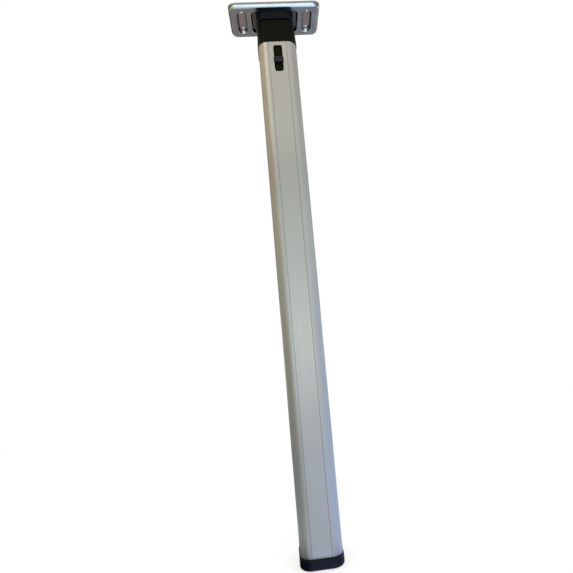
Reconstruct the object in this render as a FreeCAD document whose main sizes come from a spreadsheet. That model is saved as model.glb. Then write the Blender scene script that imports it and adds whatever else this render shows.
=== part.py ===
import FreeCAD, Part
import math
import os
import re

import Sketcher

# Folding table leg, in millimetres.
# The origin is the middle of the foot's underside, +Z is up and the thumb slide faces -Y.
# The leg folds backwards, towards +Y, about the pivot pin.

DIMENSIONS = [
    # Overall heights above the floor
    ("overall_height", 699.0, "floor to the underside of the table top"),
    ("tube_top", 647.0, "upper end of the tube, where the hinge head sits"),
    ("foot_height", 12.0, "visible height of the foot cap"),
    ("head_top", 678.2, "top of the hinge head, at the parting line"),
    ("base_bottom", 679.85, "underside of the hinge base, at the parting line"),
    # Leg tube
    ("tube_width", 50.0, "outside width of the tube"),
    ("tube_corner", 13.0, "outside corner radius of the tube"),
    ("tube_wall", 1.8, "wall of the tube"),
    ("groove_offset", 11.7, "hairline grooves from the middle of a face"),
    ("groove_width", 0.7, "width of a hairline groove"),
    ("groove_depth", 0.35, "depth of a hairline groove"),
    ("slot_width", 11.6, "width of the thumb slot"),
    ("slot_height", 36.5, "height of the thumb slot"),
    ("slot_corner", 3.0, "corner radius of the thumb slot"),
    ("slot_drop", 5.4, "top of the thumb slot below the end of the tube"),
    # Mounting plate
    ("plate_width", 120.8, "outside width of the plate, along X"),
    ("plate_depth", 61.4, "outside depth of the plate, along Y"),
    ("plate_corner", 9.0, "corner radius of the plate's rim"),
    ("plate_height", 6.0, "height of the pressed pan"),
    ("sheet_gauge", 2.0, "thickness of the sheet steel"),
    ("rim_upright", 2.3, "upright top of the rim, above the flank"),
    ("rim_bend", 1.6, "bend radius between upright rim and flank, outside"),
    ("flank_angle", 30.0, "slope of the rim's flank, from upright"),
    ("rim_round", 3.2, "bend radius between flank and floor, outside"),
    ("rim_edge", 0.5, "edge round at the top of the rim"),
    ("recess_width", 12.4, "width of a long recess at its mouth"),
    ("recess_length", 42.0, "length of a long recess at its mouth"),
    ("recess_angle", 24.0, "slope of a recess wall, from upright"),
    ("recess_lip", 0.7, "edge round at a recess's mouth"),
    ("outer_recess_x", 43.6, "outer recesses from the middle"),
    ("inner_recess_x", 24.8, "inner recesses from the middle"),
    ("screw_hole_radius", 2.1, "table screw hole"),
    ("screw_spacing", 31.0, "table screw holes apart, along Y"),
    # Hinge blocks
    ("block_width", 48.6, "hinge blocks at the parting line"),
    ("block_corner", 12.4, "corner radius of the hinge base"),
    ("collar_width", 51.6, "hinge head where it meets the tube"),
    ("collar_corner", 13.8, "corner radius of the hinge head at the tube"),
    ("block_edge", 0.9, "edge round at the parting line"),
    ("base_wall", 3.0, "wall of the hinge base"),
    ("boss_radius", 4.0, "screw boss in the hinge base"),
    ("boss_x", 13.4, "screw bosses from the middle, along X"),
    ("boss_y", 17.4, "screw bosses from the middle, along Y"),
    # Pivot
    ("pin_y", 12.8, "pivot axis behind the middle of the leg"),
    ("pin_z", 666.3, "pivot axis above the floor"),
    ("pin_radius", 3.0, "pivot pin"),
    ("pin_reach", 22.8, "end of the pivot pin from the middle"),
    ("pin_chamfer", 0.5, "chamfer at the ends of the pivot pin"),
    ("running_gap", 0.05, "radial clearance of the pin in its bush"),
    ("seat_gap", 0.03, "radial clearance of a fixed pin or rivet"),
    ("bush_radius", 4.2, "outside of the pivot bush"),
    ("clip_seat", 20.7, "floor of the clip recess from the middle"),
    ("clip_recess", 6.5, "radius of the clip recess"),
    ("clip_gauge", 0.8, "thickness of a clip"),
    ("clip_radius", 5.2, "outside of a clip"),
    ("clip_groove", 2.3, "pin radius in the clip groove"),
    ("clip_mouth", 3.6, "opening of a clip"),
    ("clip_relief", 1.3, "radius of the reliefs inside a clip"),
    ("clip_relief_reach", 2.7, "reliefs of a clip from the pivot axis"),
    ("clip_relief_angle", 60.0, "reliefs of a clip from its back"),
    ("washer_gauge", 0.7, "thickness of a thrust washer"),
    ("washer_radius", 8.0, "outside of a thrust washer"),
    # Lock knuckle
    ("knuckle_width", 16.0, "knuckle along the pivot axis"),
    ("knuckle_radius", 11.4, "round end of the knuckle"),
    ("knuckle_gap", 0.5, "knuckle to the slot's round floor"),
    ("cheek_gap", 0.9, "knuckle to a cheek of the head, with its washer"),
    ("neck_front", 2.0, "front of the knuckle's neck"),
    ("neck_back", 20.0, "back of the knuckle's neck"),
    ("flange_gauge", 5.0, "thickness of the knuckle's flange"),
    ("flange_width", 37.0, "flange along X"),
    ("flange_front", 10.0, "flange in front of the middle"),
    ("flange_back", 10.4, "flange behind the middle"),
    ("flange_corner", 3.0, "corner radius of the flange"),
    ("notch_floor", 5.5, "floor of a lock notch from the pivot axis"),
    ("notch_mouth", 7.4, "width of a lock notch at the round end"),
    ("notch_root", 5.6, "width of a lock notch at its floor"),
    ("rivet_x", 13.0, "knuckle rivets from the middle, along X"),
    ("rivet_y", 4.6, "knuckle rivets from the middle, along Y"),
    ("rivet_radius", 2.5, "shank of a knuckle rivet"),
    ("rivet_head", 4.1, "radius of a knuckle rivet's head"),
    ("rivet_rise", 2.0, "height of a knuckle rivet's head"),
    ("rivet_dome", 6.0, "dome of a knuckle rivet's head"),
    ("rivet_flat", 1.2, "flat on the top of a knuckle rivet"),
    ("rivet_tail", 4.0, "radius of a knuckle rivet's closed end"),
    ("rivet_tail_height", 1.5, "height of a knuckle rivet's closed end"),
    # Latch
    ("latch_travel", 6.0, "travel of the latch from drawn to locked"),
    ("bolt_width", 9.0, "bolt along X"),
    ("bolt_depth", 7.0, "bolt along Y"),
    ("bolt_nose", 5.2, "bolt along Y at its tip"),
    ("bolt_tip_gap", 0.4, "drawn bolt's tip to the knuckle"),
    ("bolt_foot", 610.0, "lower end of the bolt"),
    ("slide_gap", 0.2, "sliding clearance of the latch"),
    ("latch_overrun", 2.0, "spare travel above the locked latch"),
    ("thumb_z", 621.2, "middle of the thumb rib, drawn"),
    ("thumb_width", 12.8, "thumb rib along X"),
    ("thumb_height", 7.2, "thumb rib along Z"),
    ("thumb_proud", 2.3, "thumb rib in front of the tube"),
    ("thumb_corner", 1.6, "corner radius of the thumb rib"),
    ("thumb_round", 0.92, "edge round on the front of the thumb rib"),
    ("ridge_pitch", 2.3, "grip ridges of the thumb rib apart"),
    ("ridge_groove", 1.2, "width of a groove between grip ridges"),
    ("ridge_cut", 0.8, "depth of a groove between grip ridges"),
    ("stem_width", 7.7, "stem behind the thumb rib along X"),
    ("stem_height", 5.8, "stem behind the thumb rib along Z"),
    ("slide_width", 17.6, "front plate of the carriage"),
    ("slide_gauge", 3.0, "thickness of the front plate"),
    ("slide_top", 643.0, "top of the front plate"),
    ("slide_bottom", 598.0, "bottom of the front plate"),
    ("arm_width", 11.6, "arm of the carriage along X"),
    ("arm_bottom", 606.0, "underside of the arm"),
    ("arm_top", 617.5, "top of the arm"),
    ("grip_width", 17.0, "bolt holder of the carriage along X"),
    ("grip_depth", 11.0, "bolt holder of the carriage along Y"),
    ("grip_bottom", 606.0, "underside of the bolt holder"),
    ("grip_top", 622.0, "top of the bolt holder"),
    ("cross_pin_z", 616.0, "roll pin above the floor"),
    ("cross_pin_radius", 1.5, "roll pin"),
    ("cross_pin_bore", 0.9, "inside of the roll pin"),
    ("cross_pin_slit", 0.6, "slit along the roll pin"),
    # Spigot and spring
    ("spigot_gap", 0.2, "spigot to the inside of the tube"),
    ("spigot_bottom", 582.0, "lower end of the spigot"),
    ("cavity_width", 28.0, "cavity of the spigot along X"),
    ("cavity_front", 17.0, "cavity in front of the middle"),
    ("cavity_back", 19.2, "cavity behind the middle"),
    ("cavity_top", 645.0, "roof of the spigot's cavity"),
    ("head_wall", 3.6, "wall of the moulded head round its front core"),
    ("seat_width", 42.0, "spring seat"),
    ("seat_corner", 9.0, "corner radius of the spring seat"),
    ("seat_gauge", 4.0, "thickness of the spring seat"),
    ("post_radius", 3.4, "spring post"),
    ("post_height", 12.0, "spring post above the seat"),
    ("coil_radius", 5.2, "spring, middle of the wire"),
    ("wire_radius", 0.6, "spring wire"),
    ("coil_turns", 6.0, "turns of the spring"),
    ("small_screw_radius", 1.5, "shank of the small screws"),
    ("small_head_radius", 3.4, "head of the small screws"),
    ("small_head_height", 2.1, "head height of the small screws"),
    ("seat_screw_x", 18.5, "seat screws from the middle"),
    ("seat_screw_length", 13.0, "pilot holes of the seat screws"),
    ("pilot_spare", 1.0, "pilot hole past the tip of a small screw"),
    ("tube_rivet_x", 8.0, "tube rivets from the middle"),
    ("tube_rivet_z", 637.0, "tube rivets above the floor"),
    ("tube_rivet_radius", 2.0, "shank of a tube rivet"),
    ("tube_rivet_head", 4.0, "radius of a tube rivet's head"),
    ("tube_rivet_rise", 1.3, "height of a tube rivet's head"),
    ("tube_rivet_dome", 4.6, "dome of a tube rivet's head"),
    ("tube_rivet_bulb", 2.6, "radius of a tube rivet's closed end"),
    ("mandrel_radius", 1.1, "hole that a tube rivet's mandrel leaves"),
    ("mandrel_depth", 1.2, "depth of the mandrel hole"),
    # Foot cap
    ("foot_width", 52.0, "outside width of the foot cap"),
    ("foot_corner", 14.0, "corner radius of the foot cap"),
    ("foot_round", 2.6, "edge round under the foot cap"),
    ("foot_lip", 0.5, "edge round on the foot cap's rim"),
    ("foot_sole", 4.0, "thickness of the foot's sole"),
    ("tread_inset", 6.5, "tread grooves apart, from the foot's edge inwards"),
    ("tread_width", 2.0, "width of a tread groove"),
    ("tread_depth", 0.8, "depth of a tread groove"),
    ("plug_gap", 0.1, "plug to the inside of the tube"),
    ("plug_height", 27.0, "plug above the cap's rim"),
    ("plug_wall", 2.6, "wall of the plug"),
    ("plug_slit", 5.0, "slits in the plug's walls"),
    ("plug_rib", 2.0, "ribs across the plug"),
]

# Points closer than this are at the same place, and a smaller change of volume is none.
TOUCHING = 1e-4

# Sizes worked out from the driving dimensions
PLATE_FLOOR = "(overall_height - plate_height)"
PLATE_LEDGE = "(overall_height - plate_height + sheet_gauge)"
FLANK_TOP = "(overall_height - rim_upright)"
INSIDE_UPRIGHT = "(rim_upright - sheet_gauge * tan(flank_angle / 2 * 1 deg))"
SHEET_ACROSS_RECESS = "(sheet_gauge / cos(recess_angle * 1 deg))"
PRESS_DEPTH = "(plate_height - sheet_gauge)"
HEAD_DRAFT = "atan((collar_width - block_width) / 2 / (head_top - tube_top))"
HEAD_ROUND = "(head_top - pin_z)"
KNUCKLE_SLOT = "(knuckle_radius + knuckle_gap)"
SLOT_HALF = "(knuckle_width / 2 + cheek_gap)"
BOLT_TIP = "(pin_z - knuckle_radius - bolt_tip_gap)"
TUBE_INSIDE = "(tube_width - 2 * tube_wall)"
SPIGOT_WIDTH = "(tube_width - 2 * tube_wall - 2 * spigot_gap)"
SPIGOT_CORNER = "(tube_corner - tube_wall - spigot_gap)"
SLIDE_FRONT = "(tube_wall + slide_gap - tube_width / 2)"
SLIDE_BACK = "(tube_wall + slide_gap + slide_gauge - tube_width / 2)"
SLOT_TOP = "(tube_top - slot_drop)"

ALIASES = re.compile(r"\b(" + "|".join(name for name, _, _ in DIMENSIONS) + r")\b")

doc = FreeCAD.newDocument("folding_table_leg")
sheet = doc.addObject("Spreadsheet::Sheet", "dims")
for row, (name, value, meaning) in enumerate(DIMENSIONS, start=1):
    sheet.set(f"A{row}", str(value))
    sheet.setAlias(f"A{row}", name)
    sheet.set(f"B{row}", meaning)
doc.recompute()


def number(expression):
    """The value of an expression over the sheet's dimensions."""
    value = sheet.evalExpression(expression)
    return float(getattr(value, "Value", value))


def bind(item, place, expression):
    """Tie a property or a sketch constraint to the sheet."""
    item.setExpression(place, ALIASES.sub(r"dims.\1", expression))


def new_body(label):
    body = doc.addObject("PartDesign::Body", label)
    body.Label = label
    return body


def new_sketch(body, role, offset="0"):
    """An empty sketch on one of the body's own origin planes, raised along the plane's normal."""
    plane = next(item for item in body.Origin.OriginFeatures if item.Role == role)
    sketch = body.newObject("Sketcher::SketchObject", body.Label + "_sketch")
    sketch.AttachmentSupport = [(plane, "")]
    sketch.MapMode = "FlatFace"
    bind(sketch, "AttachmentOffset.Base.z", offset)
    return sketch


def fix_point(sketch, item, end, x, y):
    """Hold a point of the sketch at x, y."""
    for kind, expression in (("DistanceX", x), ("DistanceY", y)):
        rule = Sketcher.Constraint(kind, -1, 1, item, end, number(expression))
        bind(sketch, f"Constraints[{sketch.addConstraint(rule)}]", expression)


def fix_radius(sketch, item, radius):
    rule = Sketcher.Constraint("Radius", item, number(radius))
    bind(sketch, f"Constraints[{sketch.addConstraint(rule)}]", radius)


def draw_circle(sketch, radius, x="0", y="0"):
    centre = FreeCAD.Vector(number(x), number(y), 0)
    item = sketch.addGeometry(Part.Circle(centre, FreeCAD.Vector(0, 0, 1), number(radius)), False)
    fix_radius(sketch, item, radius)
    fix_point(sketch, item, 3, x, y)


def draw_loop(sketch, corners):
    """A closed outline. A corner is (x, y), or (x, y, radius) where an arc leads to the next corner.

    The arc turns left for a positive radius and right for one written with a leading minus.
    """
    spots = [FreeCAD.Vector(number(corner[0]), number(corner[1]), 0) for corner in corners]
    items = []
    for index, corner in enumerate(corners):
        start, end = spots[index], spots[(index + 1) % len(spots)]
        if len(corner) == 2:
            edge = Part.LineSegment(start, end)
            ends = (1, 2)
        else:
            turns_right = corner[2].startswith("-")
            ends = (2, 1) if turns_right else (1, 2)
            if turns_right:
                start, end = end, start
            radius = number(corner[2].lstrip("-"))
            half = (end - start) / 2
            rise = math.sqrt(max(radius ** 2 - half.Length ** 2, 0.0))
            left = FreeCAD.Vector(-half.y, half.x, 0).normalize()
            centre = start + half + left * rise
            angles = [math.atan2(spot.y - centre.y, spot.x - centre.x) for spot in (start, end)]
            circle = Part.Circle(centre, FreeCAD.Vector(0, 0, 1), radius)
            edge = Part.ArcOfCircle(circle, *angles)
        items.append((sketch.addGeometry(edge, False), ends))
    for index, (item, ends) in enumerate(items):
        following, next_ends = items[(index + 1) % len(items)]
        sketch.addConstraint(Sketcher.Constraint("Coincident", item, ends[1], following, next_ends[0]))
    for (item, ends), corner in zip(items, corners):
        fix_point(sketch, item, ends[0], corner[0], corner[1])
        if len(corner) == 3:
            fix_radius(sketch, item, corner[2].lstrip("-"))


def draw_rectangle(sketch, left, bottom, right, top):
    draw_loop(sketch, [(left, bottom), (right, bottom), (right, top), (left, top)])


def draw_block(sketch, width, depth, x="0", y="0"):
    """A rectangle about the point x, y."""
    draw_rectangle(
        sketch, f"{x} - {width} / 2", f"{y} - {depth} / 2", f"{x} + {width} / 2", f"{y} + {depth} / 2"
    )


def draw_round_block(sketch, width, depth, radius, x="0", y="0"):
    """A rectangle with round corners about the point x, y."""
    left, right = f"{x} - {width} / 2", f"{x} + {width} / 2"
    bottom, top = f"{y} - {depth} / 2", f"{y} + {depth} / 2"
    draw_loop(sketch, [
        (f"{left} + {radius}", bottom),
        (f"{right} - {radius}", bottom, radius),
        (right, f"{bottom} + {radius}"),
        (right, f"{top} - {radius}", radius),
        (f"{right} - {radius}", top),
        (f"{left} + {radius}", top, radius),
        (left, f"{top} - {radius}"),
        (left, f"{bottom} + {radius}", radius),
    ])


def draw_long_round(sketch, width, length, x):
    """A slot with round ends along Y, drawn with each end as two quarter arcs."""
    radius = f"{width} / 2"
    straight = f"({length} / 2 - {width} / 2)"
    draw_loop(sketch, [
        (f"{x} + {radius}", f"-{straight}"),
        (f"{x} + {radius}", straight, radius),
        (x, f"{length} / 2", radius),
        (f"{x} - {radius}", straight),
        (f"{x} - {radius}", f"-{straight}", radius),
        (x, f"-{length} / 2", radius),
    ])


def add_feature(body, kind, sketch, settings, length=None, draft=None):
    feature = body.newObject("PartDesign::" + kind, f"{body.Label}_{kind.lower()}")
    feature.Profile = sketch
    for name, value in settings.items():
        setattr(feature, name, value)
    if length is not None:
        bind(feature, "Length", length)
    if draft is not None:
        bind(feature, "TaperAngle", f"-({draft})")
    doc.recompute()
    return feature


def pad(body, sketch, length, down=False, both_sides=False, draft=None):
    settings = {"Reversed": down, "Midplane": both_sides}
    return add_feature(body, "Pad", sketch, settings, length, draft)


def pocket(body, sketch, length, up=False, both_sides=False, draft=None):
    """Cut along the sketch's normal reversed, or along the normal with up. It has to remove something."""
    before = body.Shape.Volume
    settings = {"Reversed": up, "Midplane": both_sides}
    feature = add_feature(body, "Pocket", sketch, settings, length, draft)
    if body.Shape.Volume > before - TOUCHING:
        raise RuntimeError(f"{feature.Name} cut nothing")
    return feature


def revolve(body, sketch, axis="V_Axis"):
    return add_feature(body, "Revolution", sketch, {"ReferenceAxis": (sketch, [axis]), "Angle": 360.0})


def repeat(body, features, axis, length, count=2):
    """Repeat features along one of the body's own axes, over the given length."""
    direction = next(item for item in body.Origin.OriginFeatures if item.Role == axis)
    pattern = body.newObject("PartDesign::LinearPattern", body.Label + "_pattern")
    pattern.Originals = features
    pattern.Direction = (direction, [""])
    pattern.Occurrences = count
    bind(pattern, "Length", length)
    body.Tip = pattern
    doc.recompute()
    return pattern


def mirror(body, features, role):
    plane = next(item for item in body.Origin.OriginFeatures if item.Role == role)
    copy = body.newObject("PartDesign::Mirrored", body.Label + "_mirrored")
    copy.Originals = features
    copy.MirrorPlane = (plane, [""])
    body.Tip = copy
    doc.recompute()
    return copy


def round_edges(body, radius, wanted):
    """Round the edges of the body's last feature whose points all satisfy the test."""
    base = body.Tip
    names = []
    for index, edge in enumerate(base.Shape.Edges, start=1):
        ends = [edge.valueAt(edge.FirstParameter), edge.valueAt(edge.LastParameter)]
        middle = edge.valueAt((edge.FirstParameter + edge.LastParameter) / 2)
        if all(wanted(point) for point in ends + [middle]):
            names.append(f"Edge{index}")
    fillet = body.newObject("PartDesign::Fillet", body.Label + "_round")
    fillet.Base = (base, names)
    bind(fillet, "Radius", radius)
    doc.recompute()
    return fillet


def at_height(height):
    level = number(height)
    return lambda point: abs(point.z - level) < TOUCHING


def place_on_pivot(body):
    """Set a body that was modelled about its own origin on the pivot axis."""
    bind(body, "Placement.Base.y", "pin_y")
    bind(body, "Placement.Base.z", "pin_z")


def make_mounting_plate():
    body = new_body("mounting_plate")
    outline = new_sketch(body, "XY_Plane", FLANK_TOP)
    draw_round_block(outline, "plate_width", "plate_depth", "plate_corner")
    pad(body, outline, "rim_upright")
    pad(body, outline, "plate_height - rim_upright", down=True, draft="flank_angle")
    round_edges(body, "rim_round", at_height(PLATE_FLOOR))
    round_edges(body, "rim_bend", at_height(FLANK_TOP))
    round_edges(body, "rim_edge", at_height("overall_height"))
    inside_slope = f"(overall_height - {INSIDE_UPRIGHT})"
    for top, depth, draft in (
        ("overall_height", INSIDE_UPRIGHT, None),
        (inside_slope, f"{PRESS_DEPTH} - {INSIDE_UPRIGHT}", "flank_angle"),
    ):
        inside = new_sketch(body, "XY_Plane", top)
        draw_round_block(
            inside,
            "(plate_width - 2 * sheet_gauge)",
            "(plate_depth - 2 * sheet_gauge)",
            "(plate_corner - sheet_gauge)",
        )
        pocket(body, inside, depth, draft=draft)
    bumps = new_sketch(body, "XY_Plane", PLATE_LEDGE)
    hollows = new_sketch(body, "XY_Plane", PLATE_FLOOR)
    for x in ("outer_recess_x", "inner_recess_x", "-inner_recess_x", "-outer_recess_x"):
        draw_long_round(
            bumps,
            f"(recess_width + 2 * {SHEET_ACROSS_RECESS} - 2 * sheet_gauge * tan(recess_angle * 1 deg))",
            f"(recess_length + 2 * {SHEET_ACROSS_RECESS} - 2 * sheet_gauge * tan(recess_angle * 1 deg))",
            x,
        )
        draw_long_round(hollows, "recess_width", "recess_length", x)
    pad(body, bumps, PRESS_DEPTH, draft="recess_angle")
    pocket(body, hollows, PRESS_DEPTH, up=True, draft="recess_angle")
    floor = number(PLATE_FLOOR)
    half_flat = number("plate_width / 2 - plate_height")
    half_deep = number("recess_length / 2") + TOUCHING
    round_edges(body, "recess_lip", lambda point: (
        abs(point.z - floor) < TOUCHING and abs(point.x) < half_flat and abs(point.y) < half_deep
    ))
    holes = new_sketch(body, "XY_Plane", "overall_height")
    for x_sign in ("", "-"):
        for y_sign in ("", "-"):
            draw_circle(holes, "screw_hole_radius", x_sign + "outer_recess_x", y_sign + "screw_spacing / 2")
            draw_circle(holes, "rivet_radius", x_sign + "rivet_x", y_sign + "rivet_y")
            draw_circle(
                holes, "small_screw_radius + seat_gap", x_sign + "boss_x", y_sign + "boss_y"
            )
    pocket(body, holes, "plate_height")
    return body


def make_hinge_base():
    body = new_body("hinge_base")
    height = f"({PLATE_FLOOR} - base_bottom)"
    outline = new_sketch(body, "XY_Plane", "base_bottom")
    draw_round_block(outline, "block_width", "block_width", "block_corner")
    pad(body, outline, height)
    round_edges(body, "block_edge", at_height("base_bottom"))
    cavity = new_sketch(body, "XY_Plane", PLATE_FLOOR)
    inner = "(block_width - 2 * base_wall)"
    draw_round_block(cavity, inner, inner, "(block_corner - base_wall)")
    pocket(body, cavity, f"{height} - base_wall")
    bosses = new_sketch(body, "XY_Plane", "base_bottom + base_wall")
    pilots = new_sketch(body, "XY_Plane", PLATE_FLOOR)
    for x_sign in ("", "-"):
        for y_sign in ("", "-"):
            draw_circle(bosses, "boss_radius", x_sign + "boss_x", y_sign + "boss_y")
            draw_circle(pilots, "small_screw_radius + seat_gap", x_sign + "boss_x", y_sign + "boss_y")
    pad(body, bosses, f"{height} - base_wall")
    pocket(body, pilots, f"{height} - base_wall")
    window = new_sketch(body, "XY_Plane", "base_bottom + base_wall")
    draw_rectangle(
        window,
        "-knuckle_width / 2 - slide_gap",
        "neck_front - slide_gap",
        "knuckle_width / 2 + slide_gap",
        "neck_back + slide_gap",
    )
    pocket(body, window, "base_wall")
    return body


def make_lock_knuckle():
    body = new_body("lock_knuckle")
    round_end = new_sketch(body, "YZ_Plane")
    draw_circle(round_end, "knuckle_radius", "pin_y", "pin_z")
    pad(body, round_end, "knuckle_width", both_sides=True)
    neck = new_sketch(body, "YZ_Plane")
    draw_rectangle(neck, "neck_front", "pin_z", "neck_back", PLATE_FLOOR)
    pad(body, neck, "knuckle_width", both_sides=True)
    flange = new_sketch(body, "XY_Plane", PLATE_FLOOR)
    draw_round_block(
        flange, "flange_width", "(flange_front + flange_back)", "flange_corner",
        y="(flange_back / 2 - flange_front / 2)",
    )
    pad(body, flange, "flange_gauge", down=True)
    bore = new_sketch(body, "YZ_Plane")
    draw_circle(bore, "bush_radius", "pin_y", "pin_z")
    pocket(body, bore, "knuckle_width", both_sides=True)
    # A lock notch tapers as the bolt does. The wedge is drawn on past the round end.
    reach = "(knuckle_radius + bolt_tip_gap)"
    flare = f"(notch_root / 2 + (notch_mouth - notch_root) / 2 * ({reach} - notch_floor)"
    flare += " / (knuckle_radius - notch_floor))"
    unfolded = new_sketch(body, "YZ_Plane")
    draw_loop(unfolded, [
        ("pin_y - notch_root / 2", "pin_z - notch_floor"),
        (f"pin_y - {flare}", f"pin_z - {reach}"),
        (f"pin_y + {flare}", f"pin_z - {reach}"),
        ("pin_y + notch_root / 2", "pin_z - notch_floor"),
    ])
    pocket(body, unfolded, "knuckle_width", both_sides=True)
    folded = new_sketch(body, "YZ_Plane")
    draw_loop(folded, [
        ("pin_y + notch_floor", "pin_z - notch_root / 2"),
        (f"pin_y + {reach}", f"pin_z - {flare}"),
        (f"pin_y + {reach}", f"pin_z + {flare}"),
        ("pin_y + notch_floor", "pin_z + notch_root / 2"),
    ])
    pocket(body, folded, "knuckle_width", both_sides=True)
    holes = new_sketch(body, "XY_Plane", PLATE_FLOOR)
    for x_sign in ("", "-"):
        for y_sign in ("", "-"):
            draw_circle(holes, "rivet_radius", x_sign + "rivet_x", y_sign + "rivet_y")
    pocket(body, holes, "flange_gauge")
    return body


def make_knuckle_rivets():
    body = new_body("knuckle_rivets")
    profile = new_sketch(body, "XZ_Plane")
    shank = "(rivet_radius - seat_gap)"
    tail = f"({PLATE_FLOOR} - flange_gauge)"
    draw_loop(profile, [
        ("0", f"{tail} - rivet_tail_height"),
        ("rivet_tail - rivet_tail_height / 3", f"{tail} - rivet_tail_height"),
        ("rivet_tail", tail),
        (shank, tail),
        (shank, PLATE_LEDGE),
        ("rivet_head", PLATE_LEDGE, "rivet_dome"),
        ("rivet_flat", f"{PLATE_LEDGE} + rivet_rise"),
        ("0", f"{PLATE_LEDGE} + rivet_rise"),
    ])
    first = revolve(body, profile)
    bind(body, "Placement.Base.x", "-rivet_x")
    bind(body, "Placement.Base.y", "-rivet_y")
    return spread_four(body, first, "2 * rivet_x", "2 * rivet_y")


def spread_four(body, feature, width, depth):
    """Four copies of a feature at the corners of a rectangle."""
    body.AllowCompound = True
    grid = body.newObject("PartDesign::MultiTransform", body.Label + "_grid")
    grid.Originals = [feature]
    steps = []
    for axis, length in (("X_Axis", width), ("Y_Axis", depth)):
        direction = next(item for item in body.Origin.OriginFeatures if item.Role == axis)
        step = doc.addObject("PartDesign::LinearPattern", f"{body.Label}_{axis[0].lower()}_step")
        body.addObject(step)
        step.Direction = (direction, [""])
        step.Occurrences = 2
        bind(step, "Length", length)
        steps.append(step)
    grid.Transformations = steps
    body.Tip = grid
    doc.recompute()
    return body


def draw_screw(sketch, seat, length):
    """Half of a pan-head screw on the Z axis, head above the seat and a short cone at the tip."""
    shank = "small_screw_radius"
    draw_loop(sketch, [
        ("0", f"{seat} - {length}"),
        (f"{shank} / 2", f"{seat} - {length}"),
        (shank, f"{seat} - {length} + {shank}"),
        (shank, seat),
        ("small_head_radius", seat),
        ("small_head_radius", f"{seat} + small_head_height / 2", "small_head_height / 2"),
        ("small_head_radius - small_head_height / 2", f"{seat} + small_head_height"),
        ("0", f"{seat} + small_head_height"),
    ])


def make_base_screws():
    body = new_body("base_screws")
    profile = new_sketch(body, "XZ_Plane")
    draw_screw(profile, PLATE_LEDGE, f"({PLATE_LEDGE} - base_bottom - base_wall - pilot_spare)")
    first = revolve(body, profile)
    bind(body, "Placement.Base.x", "-boss_x")
    bind(body, "Placement.Base.y", "-boss_y")
    return spread_four(body, first, "2 * boss_x", "2 * boss_y")


def make_ring(label, inner, outer, start, length):
    """A plain ring on the pivot axis, from start along +X."""
    body = new_body(label)
    section = new_sketch(body, "YZ_Plane", start)
    draw_circle(section, outer)
    draw_circle(section, inner)
    ring = pad(body, section, length)
    place_on_pivot(body)
    return body, ring


def make_pivot_bush():
    return make_ring(
        "pivot_bush", "pin_radius + running_gap", "bush_radius", "-knuckle_width / 2", "knuckle_width"
    )[0]


def make_thrust_washers():
    inner = "pin_radius + 2 * running_gap"
    body, washer = make_ring(
        "thrust_washers", inner, "washer_radius", "knuckle_width / 2", "washer_gauge"
    )
    body.AllowCompound = True
    mirror(body, [washer], "YZ_Plane")
    return body


def make_pivot_pin():
    body = new_body("pivot_pin")
    profile = new_sketch(body, "XZ_Plane")
    half = [
        ("pin_reach", "0"),
        ("pin_reach", "pin_radius - pin_chamfer"),
        ("pin_reach - pin_chamfer", "pin_radius"),
        ("clip_seat + clip_gauge", "pin_radius"),
        ("clip_seat + clip_gauge", "clip_groove"),
        ("clip_seat", "clip_groove"),
        ("clip_seat", "pin_radius"),
    ]
    other_half = [(f"-({x})", radius) for x, radius in reversed(half)]
    draw_loop(profile, half + other_half)
    revolve(body, profile, "H_Axis")
    place_on_pivot(body)
    return body


def make_pin_clips():
    body, ring = make_ring("pin_clips", "clip_groove", "clip_radius", "clip_seat", "clip_gauge")
    gap = new_sketch(body, "YZ_Plane", "clip_seat")
    draw_rectangle(gap, "0", "-clip_mouth / 2", "2 * clip_radius", "clip_mouth / 2")
    mouth = pocket(body, gap, "clip_gauge", up=True)
    reliefs = new_sketch(body, "YZ_Plane", "clip_seat")
    behind = "-clip_relief_reach * cos(clip_relief_angle * 1 deg)"
    beside = "clip_relief_reach * sin(clip_relief_angle * 1 deg)"
    draw_circle(reliefs, "clip_relief", behind, beside)
    draw_circle(reliefs, "clip_relief", behind, "-" + beside)
    lobes = pocket(body, reliefs, "clip_gauge", up=True)
    body.AllowCompound = True
    mirror(body, [ring, mouth, lobes], "YZ_Plane")
    return body


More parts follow.
